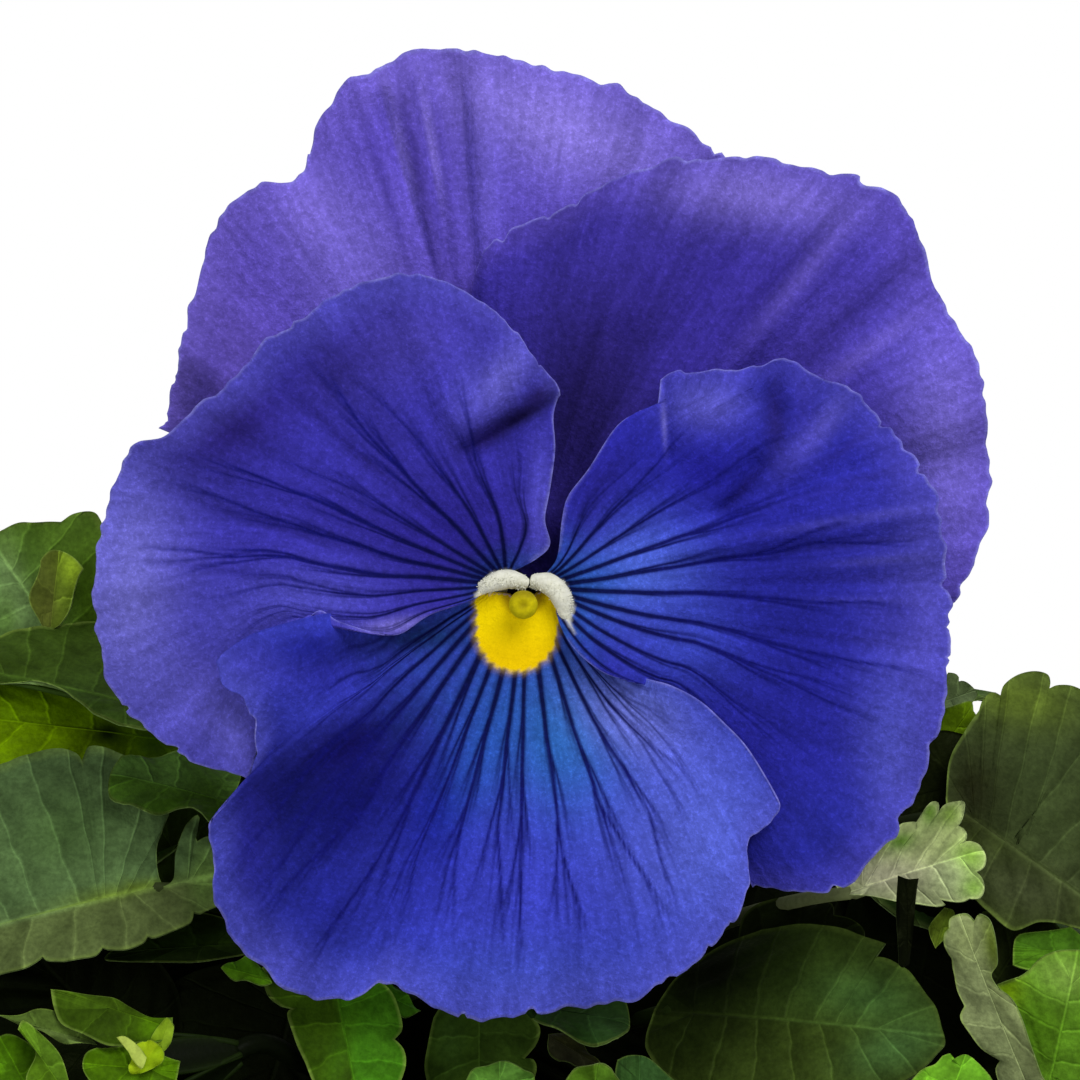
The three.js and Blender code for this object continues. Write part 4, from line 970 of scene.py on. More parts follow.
    def vein_tree(self, plan: PetalPlan) -> list:
        """Main veins that run on to their reach, with thinner branches to both sides.

        Args:
            plan: The petal.

        Returns:
            Twigs: share at the start, start and end down the petal, drift, and width in mm.
        """
        rng = np.random.default_rng(int(plan.claw) + 3)
        twigs = []
        for vein in plan.veins:
            share = vein.share + rng.uniform(-0.006, 0.006)
            drift = rng.uniform(-0.02, 0.02)
            reach = min(1.0, vein.reach * self.vein_reach)
            width = vein.width * self.vein_width
            twigs.append((share, -0.02, reach, drift, width))
            way = rng.choice([-1, 1])
            for order in range(self.branches):
                start = reach * rng.uniform(0.12 + 0.14 * order, 0.26 + 0.14 * order)
                side = drift + way * self.fork_spread * rng.uniform(0.6, 1.3)
                end = min(1.0, start + rng.uniform(0.22, 0.45))
                root = share + drift * (start + 0.02)
                thin = width * rng.uniform(0.42, 0.62) * (1 - 0.4 * start / reach)
                twigs.append((root, start, end, side, thin))
                fork = mix(start, end, rng.uniform(0.3, 0.5))
                twigs.append((root + side * (fork - start), fork, min(1.0, fork + 0.2),
                              side - way * self.fork_spread * rng.uniform(0.5, 1.1), 0.6 * thin))
                way = -way
        return twigs

    def vein_mask(self, plan: PetalPlan, points: Array, s: Array, v: Array) -> Array:
        """Dark veins: thin lines that fan out from the eye, branch and fade towards the rim."""
        mask = np.zeros_like(s)
        width_here = run_length(points, 1)
        wander = 0.0035 * lattice_noise(v * 9, s * 14 + plan.claw, 13)
        for share, start, until, drift, width in self.vein_tree(plan):
            gone = np.clip((v - start) / (until - start), 0, 1)
            apart = (s + wander - share - drift * (v - start)) * width_here
            taper = width * (1 - 0.62 * gone)
            thick = np.maximum(taper, self.finest_vein)
            there = ramp(start - 0.012, start + 0.012, v) * ramp(1.0, 0.45, gone)
            mask = np.maximum(mask, bell(apart, thick) * there * (taper / thick) ** 0.7)
        return mask

    def colour_and_shade(self, plan: PetalPlan, points: Array, s: Array, t: Array, x: Array, u: Array) -> Array:
        """Colour of a petal, point by point: its dye, with painted shade and painted light.

        Args:
            plan: The petal.
            points: Its surface points.
            s: Shares across.
            t: Shares from foot to rim.
            x: Place right on the face.
            u: Place up on the face.

        Returns:
            Linear colours on the grid, and the pattern's strength as a fourth number.
        """
        v = self.beyond_claw(t)
        tint = np.broadcast_to(linear(plan.base), (*s.shape, 3)).copy()
        # patches: dye, and painted shade and painted light where creases, folds and overlaps fall
        for p in plan.patches:
            tint = mix(tint, linear(p.colour), p.cover(x, u)[..., None])
        # painted light: the colour pales towards the rim, where light shows through the thin margin
        near_rim = ramp(0.86, 1.0, v) * 0.45
        tint = mix(tint, linear(plan.margin), near_rim[..., None])
        # painted shade: dark radial streaks that go with the pleats
        streak = lattice_noise(s * 30 + plan.claw, v * 2.0, 21) + 0.55 * lattice_noise(s * 90, v * 3.5, 22)
        tint = tint * (1 + plan.streak_dark * 0.42 * streak * ramp(0.05, 0.35, v))[..., None]
        to_side = np.minimum(s, 1 - s) * run_length(points, 1) + 4 * ramp(0.12, 0.02, v)
        to_edge = np.minimum((1 - v) * run_length(points, 0), to_side)
        # painted light: a pale glow along the thin edges, as light shows through them
        glow = bell(to_edge, 0.24) * (0.45 + 0.25 * lattice_noise(s * 60, v * 40, 23))
        if plan.name is PetalName.LOWER:
            glow = glow * ramp(0.03, 0.09, s)
        tint = mix(tint, linear("#8d8cdc"), np.clip(glow, 0, 1)[..., None])
        veins = self.vein_mask(plan, points, s, v)
        if plan.veins:
            r = np.hypot(x, u)
            mottle = 1 + 0.35 * lattice_noise(x / 0.55, u / 0.55, 33)
            halo = ramp(plan.halo_reach, 3, r) * plan.halo * mottle
            tint = mix(tint, linear("#2763b0"), np.clip(halo, 0, 1)[..., None])
        ink = mix(linear("#05073a"), linear("#0e0f62"), ramp(6, 22, np.hypot(x, u))[..., None])
        tint = mix(tint, ink, np.clip(1.25 * veins, 0, 0.97)[..., None])
        return self.eye(plan, tint, x, u)

    def eye(self, plan: PetalPlan, tint: Array, x: Array, u: Array) -> Array:
        """Adds the yellow eye on the lower petal, with painted shade round the throat, and the cream
        beards' ground on the side ones; the upper ones get painted shade near the centre.
        """
        wobble = 0.35 * lattice_noise(x * 1.3, u * 1.3, 31)
        calm = np.zeros_like(x)
        if plan.name is PetalName.LOWER:
            # a patch with straight sides above and a round end below, scalloped by the veins
            dx, du = x - self.eye_at[0], u - self.eye_at[1]
            scallops = 0.07 * np.sin(19 * np.arctan2(du, dx))
            far = np.hypot(dx, np.minimum(du, 0)) + scallops + 0.35 * wobble
            calm = ramp(self.eye_radius, self.eye_radius - 0.22, far)
            tint = mix(tint, linear("#b99a4a"), (0.4 * bell(far - self.eye_radius, 0.3))[..., None])
            yellow = mix(linear("#f4cc00"), linear("#ffe000"), ramp(-5, 0, u)[..., None])
            tint = mix(tint, yellow, calm[..., None])
            # painted shade: olive-brown darkening round the throat, beside the stigma
            throat = ramp(2.3, 1.3, np.hypot((x - 0.1) * 0.9, u - 1.5)) * 0.8
            tint = mix(tint, linear("#6e5208"), throat[..., None])
        elif plan.name in (PetalName.SIDE_LEFT, PetalName.SIDE_RIGHT):
            ridge = self.beard_line(plan.name)
            near = np.min([to_line(x, u, a, b) for a, b in zip(ridge[:-1], ridge[1:])], axis=0)
            if plan.name is PetalName.SIDE_LEFT:
                calm = ramp(1.9, 1.5, u) * ramp(-4.1, -3.8, x)
                tint = mix(tint, linear("#ffd800"), calm[..., None])
            slim = 0.8 * ramp(-2.6, -4.2, x) + 0.85 * ramp(0.6, -1.2, u) * (x > 0)
            tint = mix(tint, linear("#d4d4c6"), ramp(1.15, 0.7, near + slim + 0.4 * wobble)[..., None])
        else:
            # painted shade: the upper petals darken towards the centre, behind the petals in front
            deep = bell(np.hypot(x, u), 8.0)
            tint = mix(tint, linear("#140d3c"), (0.75 * deep)[..., None])
        return np.concatenate([tint, 1 - 0.85 * calm[..., None]], -1)

    def petal(self, plan: PetalPlan, finish: Material) -> Object:
        """Builds one petal as a thin closed sheet, thinner at the rim."""
        s, t = np.meshgrid(np.linspace(0, 1, self.across), np.linspace(0, 1, self.down) ** 1.25)
        points, x, u = self.surface(plan, s, t)
        normals = grid_normals(points)
        v = self.beyond_claw(t)
        veins = self.vein_mask(plan, points, s, v)
        side = np.minimum(s, 1 - s)
        half = mix(self.petal_thick, self.rim_thick, np.maximum(ramp(0.9, 1, v), ramp(0.03, 0, side))) / 2
        facing = normals @ FACE_OUT
        toward = np.sign(facing.mean())
        astray = (facing * toward < 0) & (t > 1.3 * self.claw_share)
        normals = np.where(astray[..., None], -normals, normals)
        front = points + normals * (toward * (half - 0.05 * veins))[..., None]
        back = points - normals * (toward * half)[..., None]
        tint = self.colour_and_shade(plan, points, s, t, x, u)
        body = Body()
        sheet, faces = shell(front, back)
        if toward > 0:
            faces = [f[:, ::-1] for f in faces]
        pale = mix(tint, np.append(linear("#7a74c4"), 1.0), 0.35)
        uv = np.stack([s, t], -1).reshape(-1, 2)
        body.add(sheet, [f[:, ::-1] for f in faces], np.concatenate([uv, uv]),
                 np.concatenate([tint.reshape(-1, 4), pale.reshape(-1, 4)]))
        if plan.name is PetalName.LOWER:
            self.spur(body)
        return body.build(plan.name.value + "_velvet", [finish])

    def spur(self, body: Body) -> None:
        """Adds the nectar sac behind the lower petal."""
        t = np.linspace(0, 1, 26)
        path = bend(*(on_face(0.0, u, n) for u, n in ((-4.6, -4.6), (-5.2, -11), (-6.4, -17))), t)
        radii = np.interp(t, [0, 0.25, 0.5, 0.75, 0.9, 1], [1.15, 1.5, 1.5, 1.45, 1.2, 0.5])
        points, faces, uv = tube(path, radii, 20)
        colour = mix(linear("#5a50b0"), linear("#a9a6d8"), (uv[:, 1] ** 2)[:, None])
        body.add(points, faces, uv, colour)

    def beard_line(self, side: PetalName) -> list:
        """Ridge of a beard on the face, from beside the throat to above it, in mm."""
        if side is PetalName.SIDE_LEFT:
            return [(-4.2, 1.4), (-3.4, 2.15), (-2.2, 2.7), (-1.0, 2.85), (0.5, 2.5)]
        return [(0.8, 2.75), (2.1, 2.55), (3.1, 1.9), (3.65, 0.8), (3.9, -0.4), (4.65, -1.9)]

    def beard(self, side: PetalName, finish: Material) -> Object:
        """A pale swollen ridge at the neck of a side petal, thick with short blunt hairs."""
        left = side is PetalName.SIDE_LEFT
        rng = np.random.default_rng(71 if left else 72)
        body = Body()
        t = np.linspace(0, 1, 40)
        ridge = along(self.beard_line(side), t)
        swell = np.interp(t, [0, 0.2, 0.5, 0.75, 1], [0.12, 0.62, 0.9, 0.85, 0.45] if left
                          else [0.5, 0.95, 0.98, 0.5, 0.08])
        height = self.beard_out + 0.25 * np.sin(np.pi * t)
        centres = on_face(ridge[:, 0], ridge[:, 1], height)
        points, faces, uv = tube(centres, swell, 22)
        lumps = 1 + 0.05 * lattice_noise(uv[:, 0] * 9, uv[:, 1] * 15, 73)
        middle = np.repeat(centres, 22, axis=0)
        points = middle + (points - middle) * lumps[:, None]
        shade = mix(linear("#d8d8c6"), linear("#e4e4d6"), rng.uniform(0, 1, (len(points), 1)))
        body.add(points, faces, uv, shade)
        inward = np.array([0.15, 0.6])
        for _ in range(self.hairs):
            k = rng.integers(1, 38)
            around = rng.uniform(-0.15, np.pi + 0.15)
            flank = unit(ridge[k] - inward)
            out = np.cos(around) * (flank[0] * FACE_RIGHT + flank[1] * FACE_UP) + np.sin(around) * FACE_OUT
            root = centres[k] + out * swell[k] * 0.92
            lean = out + rng.normal(0, 0.25, 3)
            reach = rng.uniform(0.08, 0.2)
            path = bend(root, root + lean * reach * 0.6, root + lean * reach, np.linspace(0, 1, 4))
            hair, skin, share = tube(path, np.array([0.045, 0.045, 0.04, 0.02]), 5)
            colour = mix(linear("#dcdccc"), linear("#ececde"), rng.uniform(0, 1))
            body.add(hair, skin, share, colour)
        return body.build("beard_left" if left else "beard_right", [finish])

    def pistil(self, finish: Material) -> Object:
        """Ovary, bent style and the hollow-fronted round stigma."""
        foot = -self.calyx_depth + self.gap
        body = Body()
        green = linear("#8d9440")
        points, faces, uv = turned(np.array([(0, 0), (0.5, 0.02), (0.72, 0.8), (0.76, 1.6), (0.6, 2.4),
                                             (0.42, 2.9), (0, 3.05)]), 20)
        body.add(place_on_face(points, 0, 0, foot), faces, uv, green)
        stops = [(0, 0, foot + 2.6), (0, 0.3, -6.5), (0.15, 0.8, -3.9), (0.3, 0.7, -2.1)]
        path = np.array([on_face(*p) for p in stops])
        fine = np.stack([np.interp(np.linspace(0, 3, 22), np.arange(4), path[:, k]) for k in range(3)], 1)
        points, faces, uv = tube(fine, np.linspace(0.32, 0.45, 22), 14)
        body.add(points, faces, uv, linear("#a8a534"))
        lat = np.linspace(0, np.pi, 26)
        dimple = 1 - 0.3 * bell(lat - np.pi, 0.42)
        profile = np.stack([self.knob * np.sin(lat), -self.knob * np.cos(lat) * dimple], 1)
        profile[0, 0] = profile[-1, 0] = 0
        points, faces, uv = turned(profile, 36)
        tone = mix(linear("#c4b60e"), linear("#9a8c14"), ramp(-0.2, -1.1, points[:, 1])[:, None])
        # painted shade in the hollow front of the stigma
        dark = bell(np.hypot(points[:, 0], points[:, 1]), 0.4) * (points[:, 2] > 0)
        tone = mix(tone, linear("#7e6f0a"), (0.7 * dark)[:, None])
        body.add(place_on_face(points, *self.knob_at), faces, uv, tone)
        return body.build("pistil_with_stigma", [finish])

    def stamens(self, finish: Material) -> Object:
        """Five anthers grown together as a ribbed cone."""
        foot = -self.calyx_depth + self.gap
        turn = np.linspace(0, TAU, 60, endpoint=False)
        ring = np.array([(1.1, 0), (1.45, 0), (1.72, 0.1), (1.72, 1.2), (1.66, 2.2), (1.45, 3.3), (1.2, 4.3),
                         (0.95, 4.4), (0.8, 4.35), (0.95, 3.3), (1.1, 2.2), (1.1, 1.0)])
        rib = 1 - 0.07 * np.abs(np.sin(2.5 * turn)) ** 6
        r, z = ring[:, 0][:, None] * rib, np.broadcast_to(ring[:, 1][:, None], (len(ring), len(turn)))
        points = np.stack([r * np.cos(turn), r * np.sin(turn), z], -1).reshape(-1, 3)
        faces = grid_faces(len(ring), len(turn), True)
        close = band((len(ring) - 1) * len(turn), 0, len(turn))
        body = Body()
        body.add(place_on_face(points, 0, 0, foot), [faces, close], None, linear("#7a3d16"))
        return body.build("anther_cone", [finish])


# ------------------------------------------------------------------ leaves and stems
@dataclass(frozen=True)
class DrawnLeaf:
    """A leaf drawn by its margin, as seen from the front, in mm right and up on the bloom's face.

    The margin is a text of "right up" points, a comma after each and a bar at each notch; the
    lobes between notches are smooth. Depth comes from the leaf's own plane: base and tip hold a
    third number, mm out of the face. Roots gives, for some lobes, where their veins leave the
    midrib, as a share of its length. Besides the leaf's own colour, the halves, patches and rim
    hold painted light and shade: lit and shaded halves, painted shadows and sheen, a painted bright rim.
    """

    base: tuple
    tip: tuple
    facing: tuple
    halves: tuple
    margin: str
    patches: tuple = ()
    roots: dict = field(default_factory=dict)
    rim: str = "#90ab58"
    rim_light: float = 0.4
    stalk: bool = True

    def lobes(self) -> list:
        """The margin's stretches, each from one notch to the next, as lists of points."""
        stretches = [rows(stretch) for stretch in self.margin.split("|")]
        first = stretches[0][0]
        for one, following in zip(stretches, stretches[1:]):
            following.insert(0, one[-1])
        stretches[-1].append(first)
        return stretches


@dataclass(frozen=True)
class LeafPlan:
    """One leaf: where its stalk starts, the blade's base, tip, facing and proportions."""

    stem: int
    foot: Array
    lean: Array
    base: Array
    tip: Array
    facing: Array
    width: float
    arch: float = 0.1
    fold: float = 0.2
    teeth: int = 6
    tooth: float = 0.05
    colour: str = "#3f5a2a"
    under: str = "#6f8450"
    heart: float = 0.12
    seed: int = 0
    drawn: DrawnLeaf = None
    coarse: bool = False   # fewer points, for the shaded leaves inside the mound


def deep_shade(base: tuple, tip: tuple, margin: str) -> DrawnLeaf:
    """A nearly black leaf, far behind in the plant's own shade."""
    return DrawnLeaf(base, tip, (0, 0.35, 0.93), ("#060a02", "#080c03"), margin, rim_light=0)


DRAWN_LEAVES = (
    # behind, upper left
    DrawnLeaf((-38, -7, -36), (-48, 7.3, -38), (-0.2, 0.1, 0.97), ("#5b7a48", "#4f6d28"), (
        "-38 -7, -36.6 -3.4, -36.1 1.1, -36.6 5.5, -37.7 8 | -38.2 8.8, -39 9, -40.2 8.7, -41.1 8 | -42.1 "
        "8, -43.4 7.9, -44.6 7.9, -45.9 7.4 | -47.1 6.8, -48.8 5.4, -49.8 3.3 | -50.5 1.1, -50.4 -1.6, "
        "-49.3 -3.8 | -46.6 -6.1, -43 -7.4"), patches(
        "-45 1.1 2.4 5 0.3 #7c9872 0.7, -43.9 4.6 1.2 4 0.1 #41601c 0.6, -38.6 1.1 1.5 5 0 #3f5c0e 0.7, "
        "-45.9 -0.7 1.2 3 0 #3c5a14 0.6")),
    # young, olive
    DrawnLeaf((-42, -1.8, -33), (-41.2, 5.3, -34), (-0.3, 0.1, 0.95), ("#56612a", "#5f7426"), (
        "-42.7 -2, -43.3 -0.5, -43.7 1.1, -43.5 2.9, -42.9 4.5 | -41.7 5.4, -40.4 5.1, -39.1 3.8 | -39.5 "
        "2.4, -40.2 1.1, -40.7 -0.5, -41.1 -1.3 | -42 -1.8"), patches(
        "-40 3.6 1.1 1.8 0.3 #8aa52e 0.9, -42.3 0.4 1.2 2 0 #4a4f24 0.7"), rim_light=0.75, stalk=False),
    # dark, left
    DrawnLeaf((-30.1, -9.5, -22), (-52.9, -4.7, -26), (-0.1, 0.88, 0.47), ("#48652a", "#405821"), (
        "-30.1 -9.5, -31.9 -6.1, -33.7 -3.4, -35.9 -1.2, -37.9 -0.7 | -39.5 -0.8, -40.4 -1.1, -41.2 -1.6, "
        "-42.3 -2 | -44.4 -2.3, -46.6 -2.6, -49.3 -3 | -52 -3.8, -52.9 -5, -51.1 -6.1 | -48.4 -6.3, -46.6 "
        "-6.4, -43.9 -6.6 | -41.2 -7.6, -38.6 -9, -36.3 -10, -33.2 -11"), patches(
        "-45.7 -5.2 4 1.2 0 #223208 0.7, -38.6 -7 3 2 0 #3d5626 0.6"), rim_light=0.6),
    # yellow-green, left
    DrawnLeaf((-29.6, -11.9, -27), (-53.3, -9.2, -25), (-0.2, 0.6, 0.75), ("#6b8c00", "#5f8000"), (
        "-29.6 -11.9, -30.5 -9.6, -33.2 -7.9, -36.8 -7 | -41.2 -6.1, -45.7 -5.6, -50.2 -6.1 | -53.3 -7.9, "
        "-52.9 -11, -50.2 -13.2 | -46.6 -14.3, -42.1 -14.6, -37.7 -14.1 | -34.1 -13.9, -31 -13.2"), patches(
        "-37 -11 1.9 1.2 0 #10180a 1, -32.8 -11.9 2.6 2 0 #37590a 0.9"), rim_light=0.2),
    # large heart, left
    DrawnLeaf((-32.6, -24.7, -13), (-55.6, -30.5, -10), (0.05, 0.56, 0.83), ("#525f3e", "#4e6647"), (
        "-31.6 -24.7, -32.4 -23.6, -32.6 -21.2, -32.1 -19.5, -31.5 -17.9, -31.7 -16.6 | -32.3 -15.4, -33.4 "
        "-14.3, -34.3 -13.5, -35.2 -13 | -36.1 -12.6, -37.2 -12.1, -38.4 -11.9, -38.9 -12.2, -39.3 -13.3 | "
        "-39.8 -12.5, -41.1 -12, -42.6 -12.1, -44.4 -12.5, -45.9 -13.2 | -47.9 -13.9, -50.2 -15.9 | -52.9 "
        "-19.5, -54.6 -24.8, -55.6 -30.5 | -52.9 -32.4, -49.3 -33.3, -46.6 -32.8 | -44.8 -32.4, -43.4 "
        "-31.8, -42.7 -31.3 | -42.1 -31.7, -39.9 -31.5, -38.1 -31.1, -37.4 -30.3 | -36.8 -30.4, -35.4 "
        "-30.4, -33.9 -29.7, -33.4 -29 | -32.7 -29.1, -31 -28.4, -29.6 -27.6, -29.3 -26.7 | -28.8 -26.8, "
        "-27.9 -26.4, -26.8 -26 | -26.6 -23.9, -26.8 -21.7, -27.5 -20.2, -28.2 -20.1, -29 -20.6 | -29.2 "
        "-19.9, -28.8 -18.4, -29.2 -18.2, -30 -19, -30.7 -20.6 | -31 -22.1, -30.7 -23.7, -31.1 -24.3"),
              patches(
        "-41.2 -19.5 4 3 0.5 #48643c 0.6, -33.7 -16.8 1.6 4 0.2 #6c8a62 0.8, -28.3 -23.9 1.4 3 0 #68874a "
        "0.8, -35.9 -25 5 0.6 0.2 #5b6e20 0.8"),
        roots={0: 0.1, 1: 0.16, 2: 0.2, 12: -0.14, 13: -0.12, 14: -0.06, 11: -0.02}, rim_light=0.25),
    # mid-green, behind the heart
    DrawnLeaf((-26.1, -17.2, -16), (-36.6, -14.6, -17), (0.1, 0.75, 0.65), ("#3c5c1c", "#4a6b34"), (
        "-25.9 -16.8, -25.2 -15, -26.5 -13.7, -28.8 -12.9 | -30.7 -12.8, -32.3 -12.8, -34.1 -12.9, -35.7 "
        "-13.4 | -36.8 -14.6, -36.8 -16.3, -35.4 -17.7 | -33.2 -18.1, -31 -17.7, -29.6 -18, -28.5 -18.6 | "
        "-27.4 -18.8"), patches(
        "-28.3 -16.3 2.6 2 0 #2c4808 0.8"), rim_light=0.3),
    # shaded, in the heart's notch
    DrawnLeaf((-27.9, -26.2, -22), (-33.2, -18.1, -21), (0, 0.4, 0.9), ("#26350c", "#26350c"), (
        "-27.4 -25.7, -27 -21.2, -27.9 -18.1, -30.1 -17.2 | -32.3 -17.2, -33.7 -19.5, -34.1 -23 | -33.2 "
        "-25.7, -30.5 -27.1"), rim_light=0.1),
    # shaded, below the heart
    DrawnLeaf((-23.4, -29.7, -15), (-37.2, -30.6, -17), (0, 0.5, 0.86), ("#17240a", "#1c2c0a"), (
        "-23.8 -29.7, -25.2 -27.9, -28.8 -27.1, -32.3 -27.9 | -35.9 -29.7, -37.2 -31.1, -35 -31.5 | -31.4 "
        "-31.3, -27.9 -31.3, -24.7 -30.8"), rim_light=0.35),
    # bright strip
    DrawnLeaf((-22.3, -32.9, -9), (-27, -31.8, -10), (0, 0.5, 0.86), ("#4d7a14", "#3f6a10"), (
        "-22.3 -33.3, -23.2 -31.8, -24.7 -30.9 | -26.1 -31.3, -26.8 -32 | -25.6 -32.9, -23.8 -33.2"),
        stalk=False),
    # bottom, left of middle
    DrawnLeaf((-16.7, -33.3, -10), (-14.3, -45.8, -6), (0.1, 0.35, 0.93), ("#3f7618", "#36520f"), (
        "-16.2 -32.9, -19.8 -31.3, -23.2 -31.8 | -22.8 -33.8, -21.7 -35, -20.5 -35.5 | -21 -36.2, -20.2 "
        "-38.7, -19.3 -40.4, -18.2 -43.1 | -15.8 -45.8, -13.4 -45.4, -11.3 -43.1 | -10.5 -40.9, -10.6 "
        "-39.3, -11.4 -38.2 | -10.7 -37.3, -10.8 -36, -11.6 -34.2, -13.1 -32.9 | -14.5 -32.4"), patches(
        "-15.8 -38.2 1 5 -0.3 #3f6a14 0.7, -12.2 -37.3 1.5 3 0 #4b8420 0.7"), rim_light=0.6),
    # small, right of it
    DrawnLeaf((-13.4, -33.8, -12), (-8.9, -35.8, -12), (0, 0.4, 0.9), ("#4a8a1c", "#477f20"), (
        "-13.4 -34.6, -12.5 -33.4, -11.6 -33.3 | -10.4 -34.2, -9.1 -35.7 | -10.4 -36.2, -12.2 -35.5"),
        stalk=False),
    # bottom, middle
    DrawnLeaf((-3.8, -34.6, -16), (-3.8, -44.9, -13), (0, 0.4, 0.9), ("#3c5520", "#3a541c"), (
        "-4.6 -34.6, -6.9 -35.1, -7.9 -36.4 | -8.4 -38.7, -8.7 -40.9, -8 -43.6 | -4.6 -45.4, -2 -44.5, 0.7 "
        "-42.7 | 1.3 -40.9, 1 -40, 0.2 -40 | 1.3 -38.7, 1.6 -37.3, 0.7 -36 | -1.1 -34.6, -2.9 -34.5"),
              patches(
        "-6.4 -38.2 1.4 3 0 #4d7032 0.7"), rim_light=0.4),
    # bottom, front lobe
    DrawnLeaf((-2, -44.9, -9), (-2, -40.2, -8), (0, 0.3, 0.95), ("#58863a", "#5d8c40"), (
        "-5.4 -42.7, -4.6 -41.2, -3.6 -40.5, -2 -40.2, 0 -40.6 | 1 -41.3, 1.2 -43.1 | -2 -44.6"),
        stalk=False),
    # bottom, right of middle
    DrawnLeaf((0.7, -35.4, -12), (9.8, -36.9, -9), (0.1, 0.75, 0.65), ("#2f4d22", "#2c4a20"), (
        "2.1 -34.6, 1 -36.2 | 2.5 -37.3, 4.3 -38.2, 7 -38.8, 8.6 -38.4 | 9.5 -37.3, 9.6 -36, 9.2 -34.6 | 7 "
        "-33.8, 4.3 -33.9"), patches(
        "7.4 -36.9 2 2 0 #42693c 0.7"), rim_light=0.6),
    # brownish, small
    DrawnLeaf((2.1, -37.8, -14), (6.7, -40.5, -14), (0, 0.4, 0.9), ("#2c2d1c", "#34342a"), (
        "2.3 -37.8, 3.4 -37.5, 5.2 -38.2, 6.2 -39.6 | 6.8 -40.5, 5.2 -40.7, 3.4 -40.2 | 2.3 -39.1"),
        stalk=False),
    # bottom, green
    DrawnLeaf((6.2, -44.9, -8), (6.7, -40.3, -6), (0, 0.3, 0.95), ("#4a6c1e", "#4f7424"), (
        "3 -43.1, 4.7 -40.9, 6.7 -40.3, 8 -40.9 | 8.9 -42.2, 7.9 -44.5 | 4.7 -44.9"), rim_light=0.5),
    # bottom, blue-green
    DrawnLeaf((10.5, -44.9, -9), (10.5, -39.6, -9), (0, 0.3, 0.95), ("#2f4d28", "#345430"), (
        "8.5 -40, 9.6 -39.6, 11.2 -39.8, 12.8 -41.1 | 13.9 -42.7, 11.4 -44.9 | 9.2 -44, 8.5 -42.2, 8.3 "
        "-41.1"), rim_light=0.3),
    # large, right of middle; its left part painted near-black as the bloom's shadow
    DrawnLeaf((13, -35.7, -17), (37.6, -38, -9), (-0.1, 0.5, 0.86), ("#36491f", "#2f3d18"), (
        "11.9 -35.7, 14.1 -32.7, 17.7 -29.7, 21.2 -28.2 | 24.8 -27.9, 28.4 -28.4, 30.7 -29.2, 32.4 -29.6 | "
        "31.6 -30.8 | 32.8 -31, 34.5 -32, 35.9 -33.9, 37 -35.5, 37.5 -37.3 | 37.8 -38.7, 37 -39.8, 35.7 "
        "-41.1, 33.8 -42.2 | 30.2 -43.8, 24.8 -44.6, 19.5 -44.3, 15 -42.9 | 12.6 -41.3, 11.4 -39.7 | 11 "
        "-38.4"), patches(
        "16.5 -32.6 9 6 0.4 #070a03 1.0, 15 -38.2 4 3.5 0 #18220a 0.8, 31.1 -34.6 4.5 2.2 -0.2 #3f5f34 0.8, "
        "33.3 -39.1 4 2 0.3 #47693e 0.8"), rim_light=0.15),
    # shaded lobes above it
    DrawnLeaf((19.5, -31.1, -20), (30.6, -27.9, -18), (0, 0.45, 0.9), ("#141b08", "#161e0a"), (
        "19 -31.1, 19.9 -27.5, 23 -25.7, 26.6 -25.4 | 27.7 -26.2, 27.9 -27.3 | 29.5 -27.7, 30.6 -28.6, 30.4 "
        "-29.7 | 27.5 -31.5, 23 -32.4"), rim_light=0.1),
    # pale, lobed
    DrawnLeaf((29.3, -25.1, -15), (41.6, -21.2, -11), (0, 0.45, 0.9), ("#a9b58c", "#a3ac90"), (
        "28.8 -25.3, 27.9 -23.9, 29.3 -21.2, 32.4 -20.2 | 33.3 -19.6, 34.2 -19.1, 35.3 -19, 35.3 -19.7 | "
        "35.7 -18.1, 36.4 -17.1, 37.1 -17.1, 37.1 -18.1 | 37.7 -17.4, 38.7 -17.1, 39.6 -17.2, 39.4 -18.6, "
        "39 -19.3 | 39.6 -19.6, 39.7 -20.3, 39.2 -20.8 | 39.8 -20.5, 40.7 -20.7, 41.3 -21.6, 41.3 -22.5, "
        "40.9 -23.1, 40.2 -23.4 | 40.9 -23.6, 41.3 -24.3, 41.3 -25.2, 40.9 -25.8, 40 -25.8 | 39.3 -26.1, "
        "38.2 -26, 37.3 -25.8 | 37.7 -26.2, 36.9 -26.4, 35.4 -26.2 | 33.5 -26, 31.1 -25.5"), patches(
        "33.8 -20.6 1.5 0.9 0.3 #47700e 0.95, 36.4 -17.9 0.9 1.4 0 #47700c 0.9, 38.2 -18.1 1 1.2 0 #7a9a44 "
        "0.9, 40 -22 1.8 1.6 0 #7fa548 0.95, 40.2 -24.6 1.4 1.2 0 #7ca544 0.95, 32.4 -23.5 4 1.6 0 #bdbab2 "
        "0.9, 38.2 -23.9 1.6 1.6 0 #a9b898 0.7"),
        roots={1: 0.1, 2: 0.28, 3: 0.45, 4: 0.6, 5: 0.8, 6: 0.8, 7: 0.6, 8: 0.4},
        rim="#c9dba6", rim_light=0.75),
    # large dark, right
    DrawnLeaf((39.3, -17.9, -20), (57.4, -30.9, -18), (0.1, 0.3, 0.95), ("#38432b", "#343f1f"), (
        "37.8 -16.8, 38.2 -13.2, 39.6 -10.5, 40.9 -8.6 | 41.2 -7.7, 41.8 -7.1, 42.3 -7, 42.8 -7.3 | 43.1 "
        "-6.4, 44.3 -5.5, 45.8 -5.1, 47 -5.3, 47.3 -5.9, 47.2 -6.6 | 48 -6.2, 49.4 -6.2, 51.2 -7 | 53.4 "
        "-8.3, 54.7 -10.5 | 57 -14.1, 58.3 -18.6, 58.8 -23.9, 57.4 -30.9 | 53.4 -29.7, 49.5 -28.4 | 46.2 "
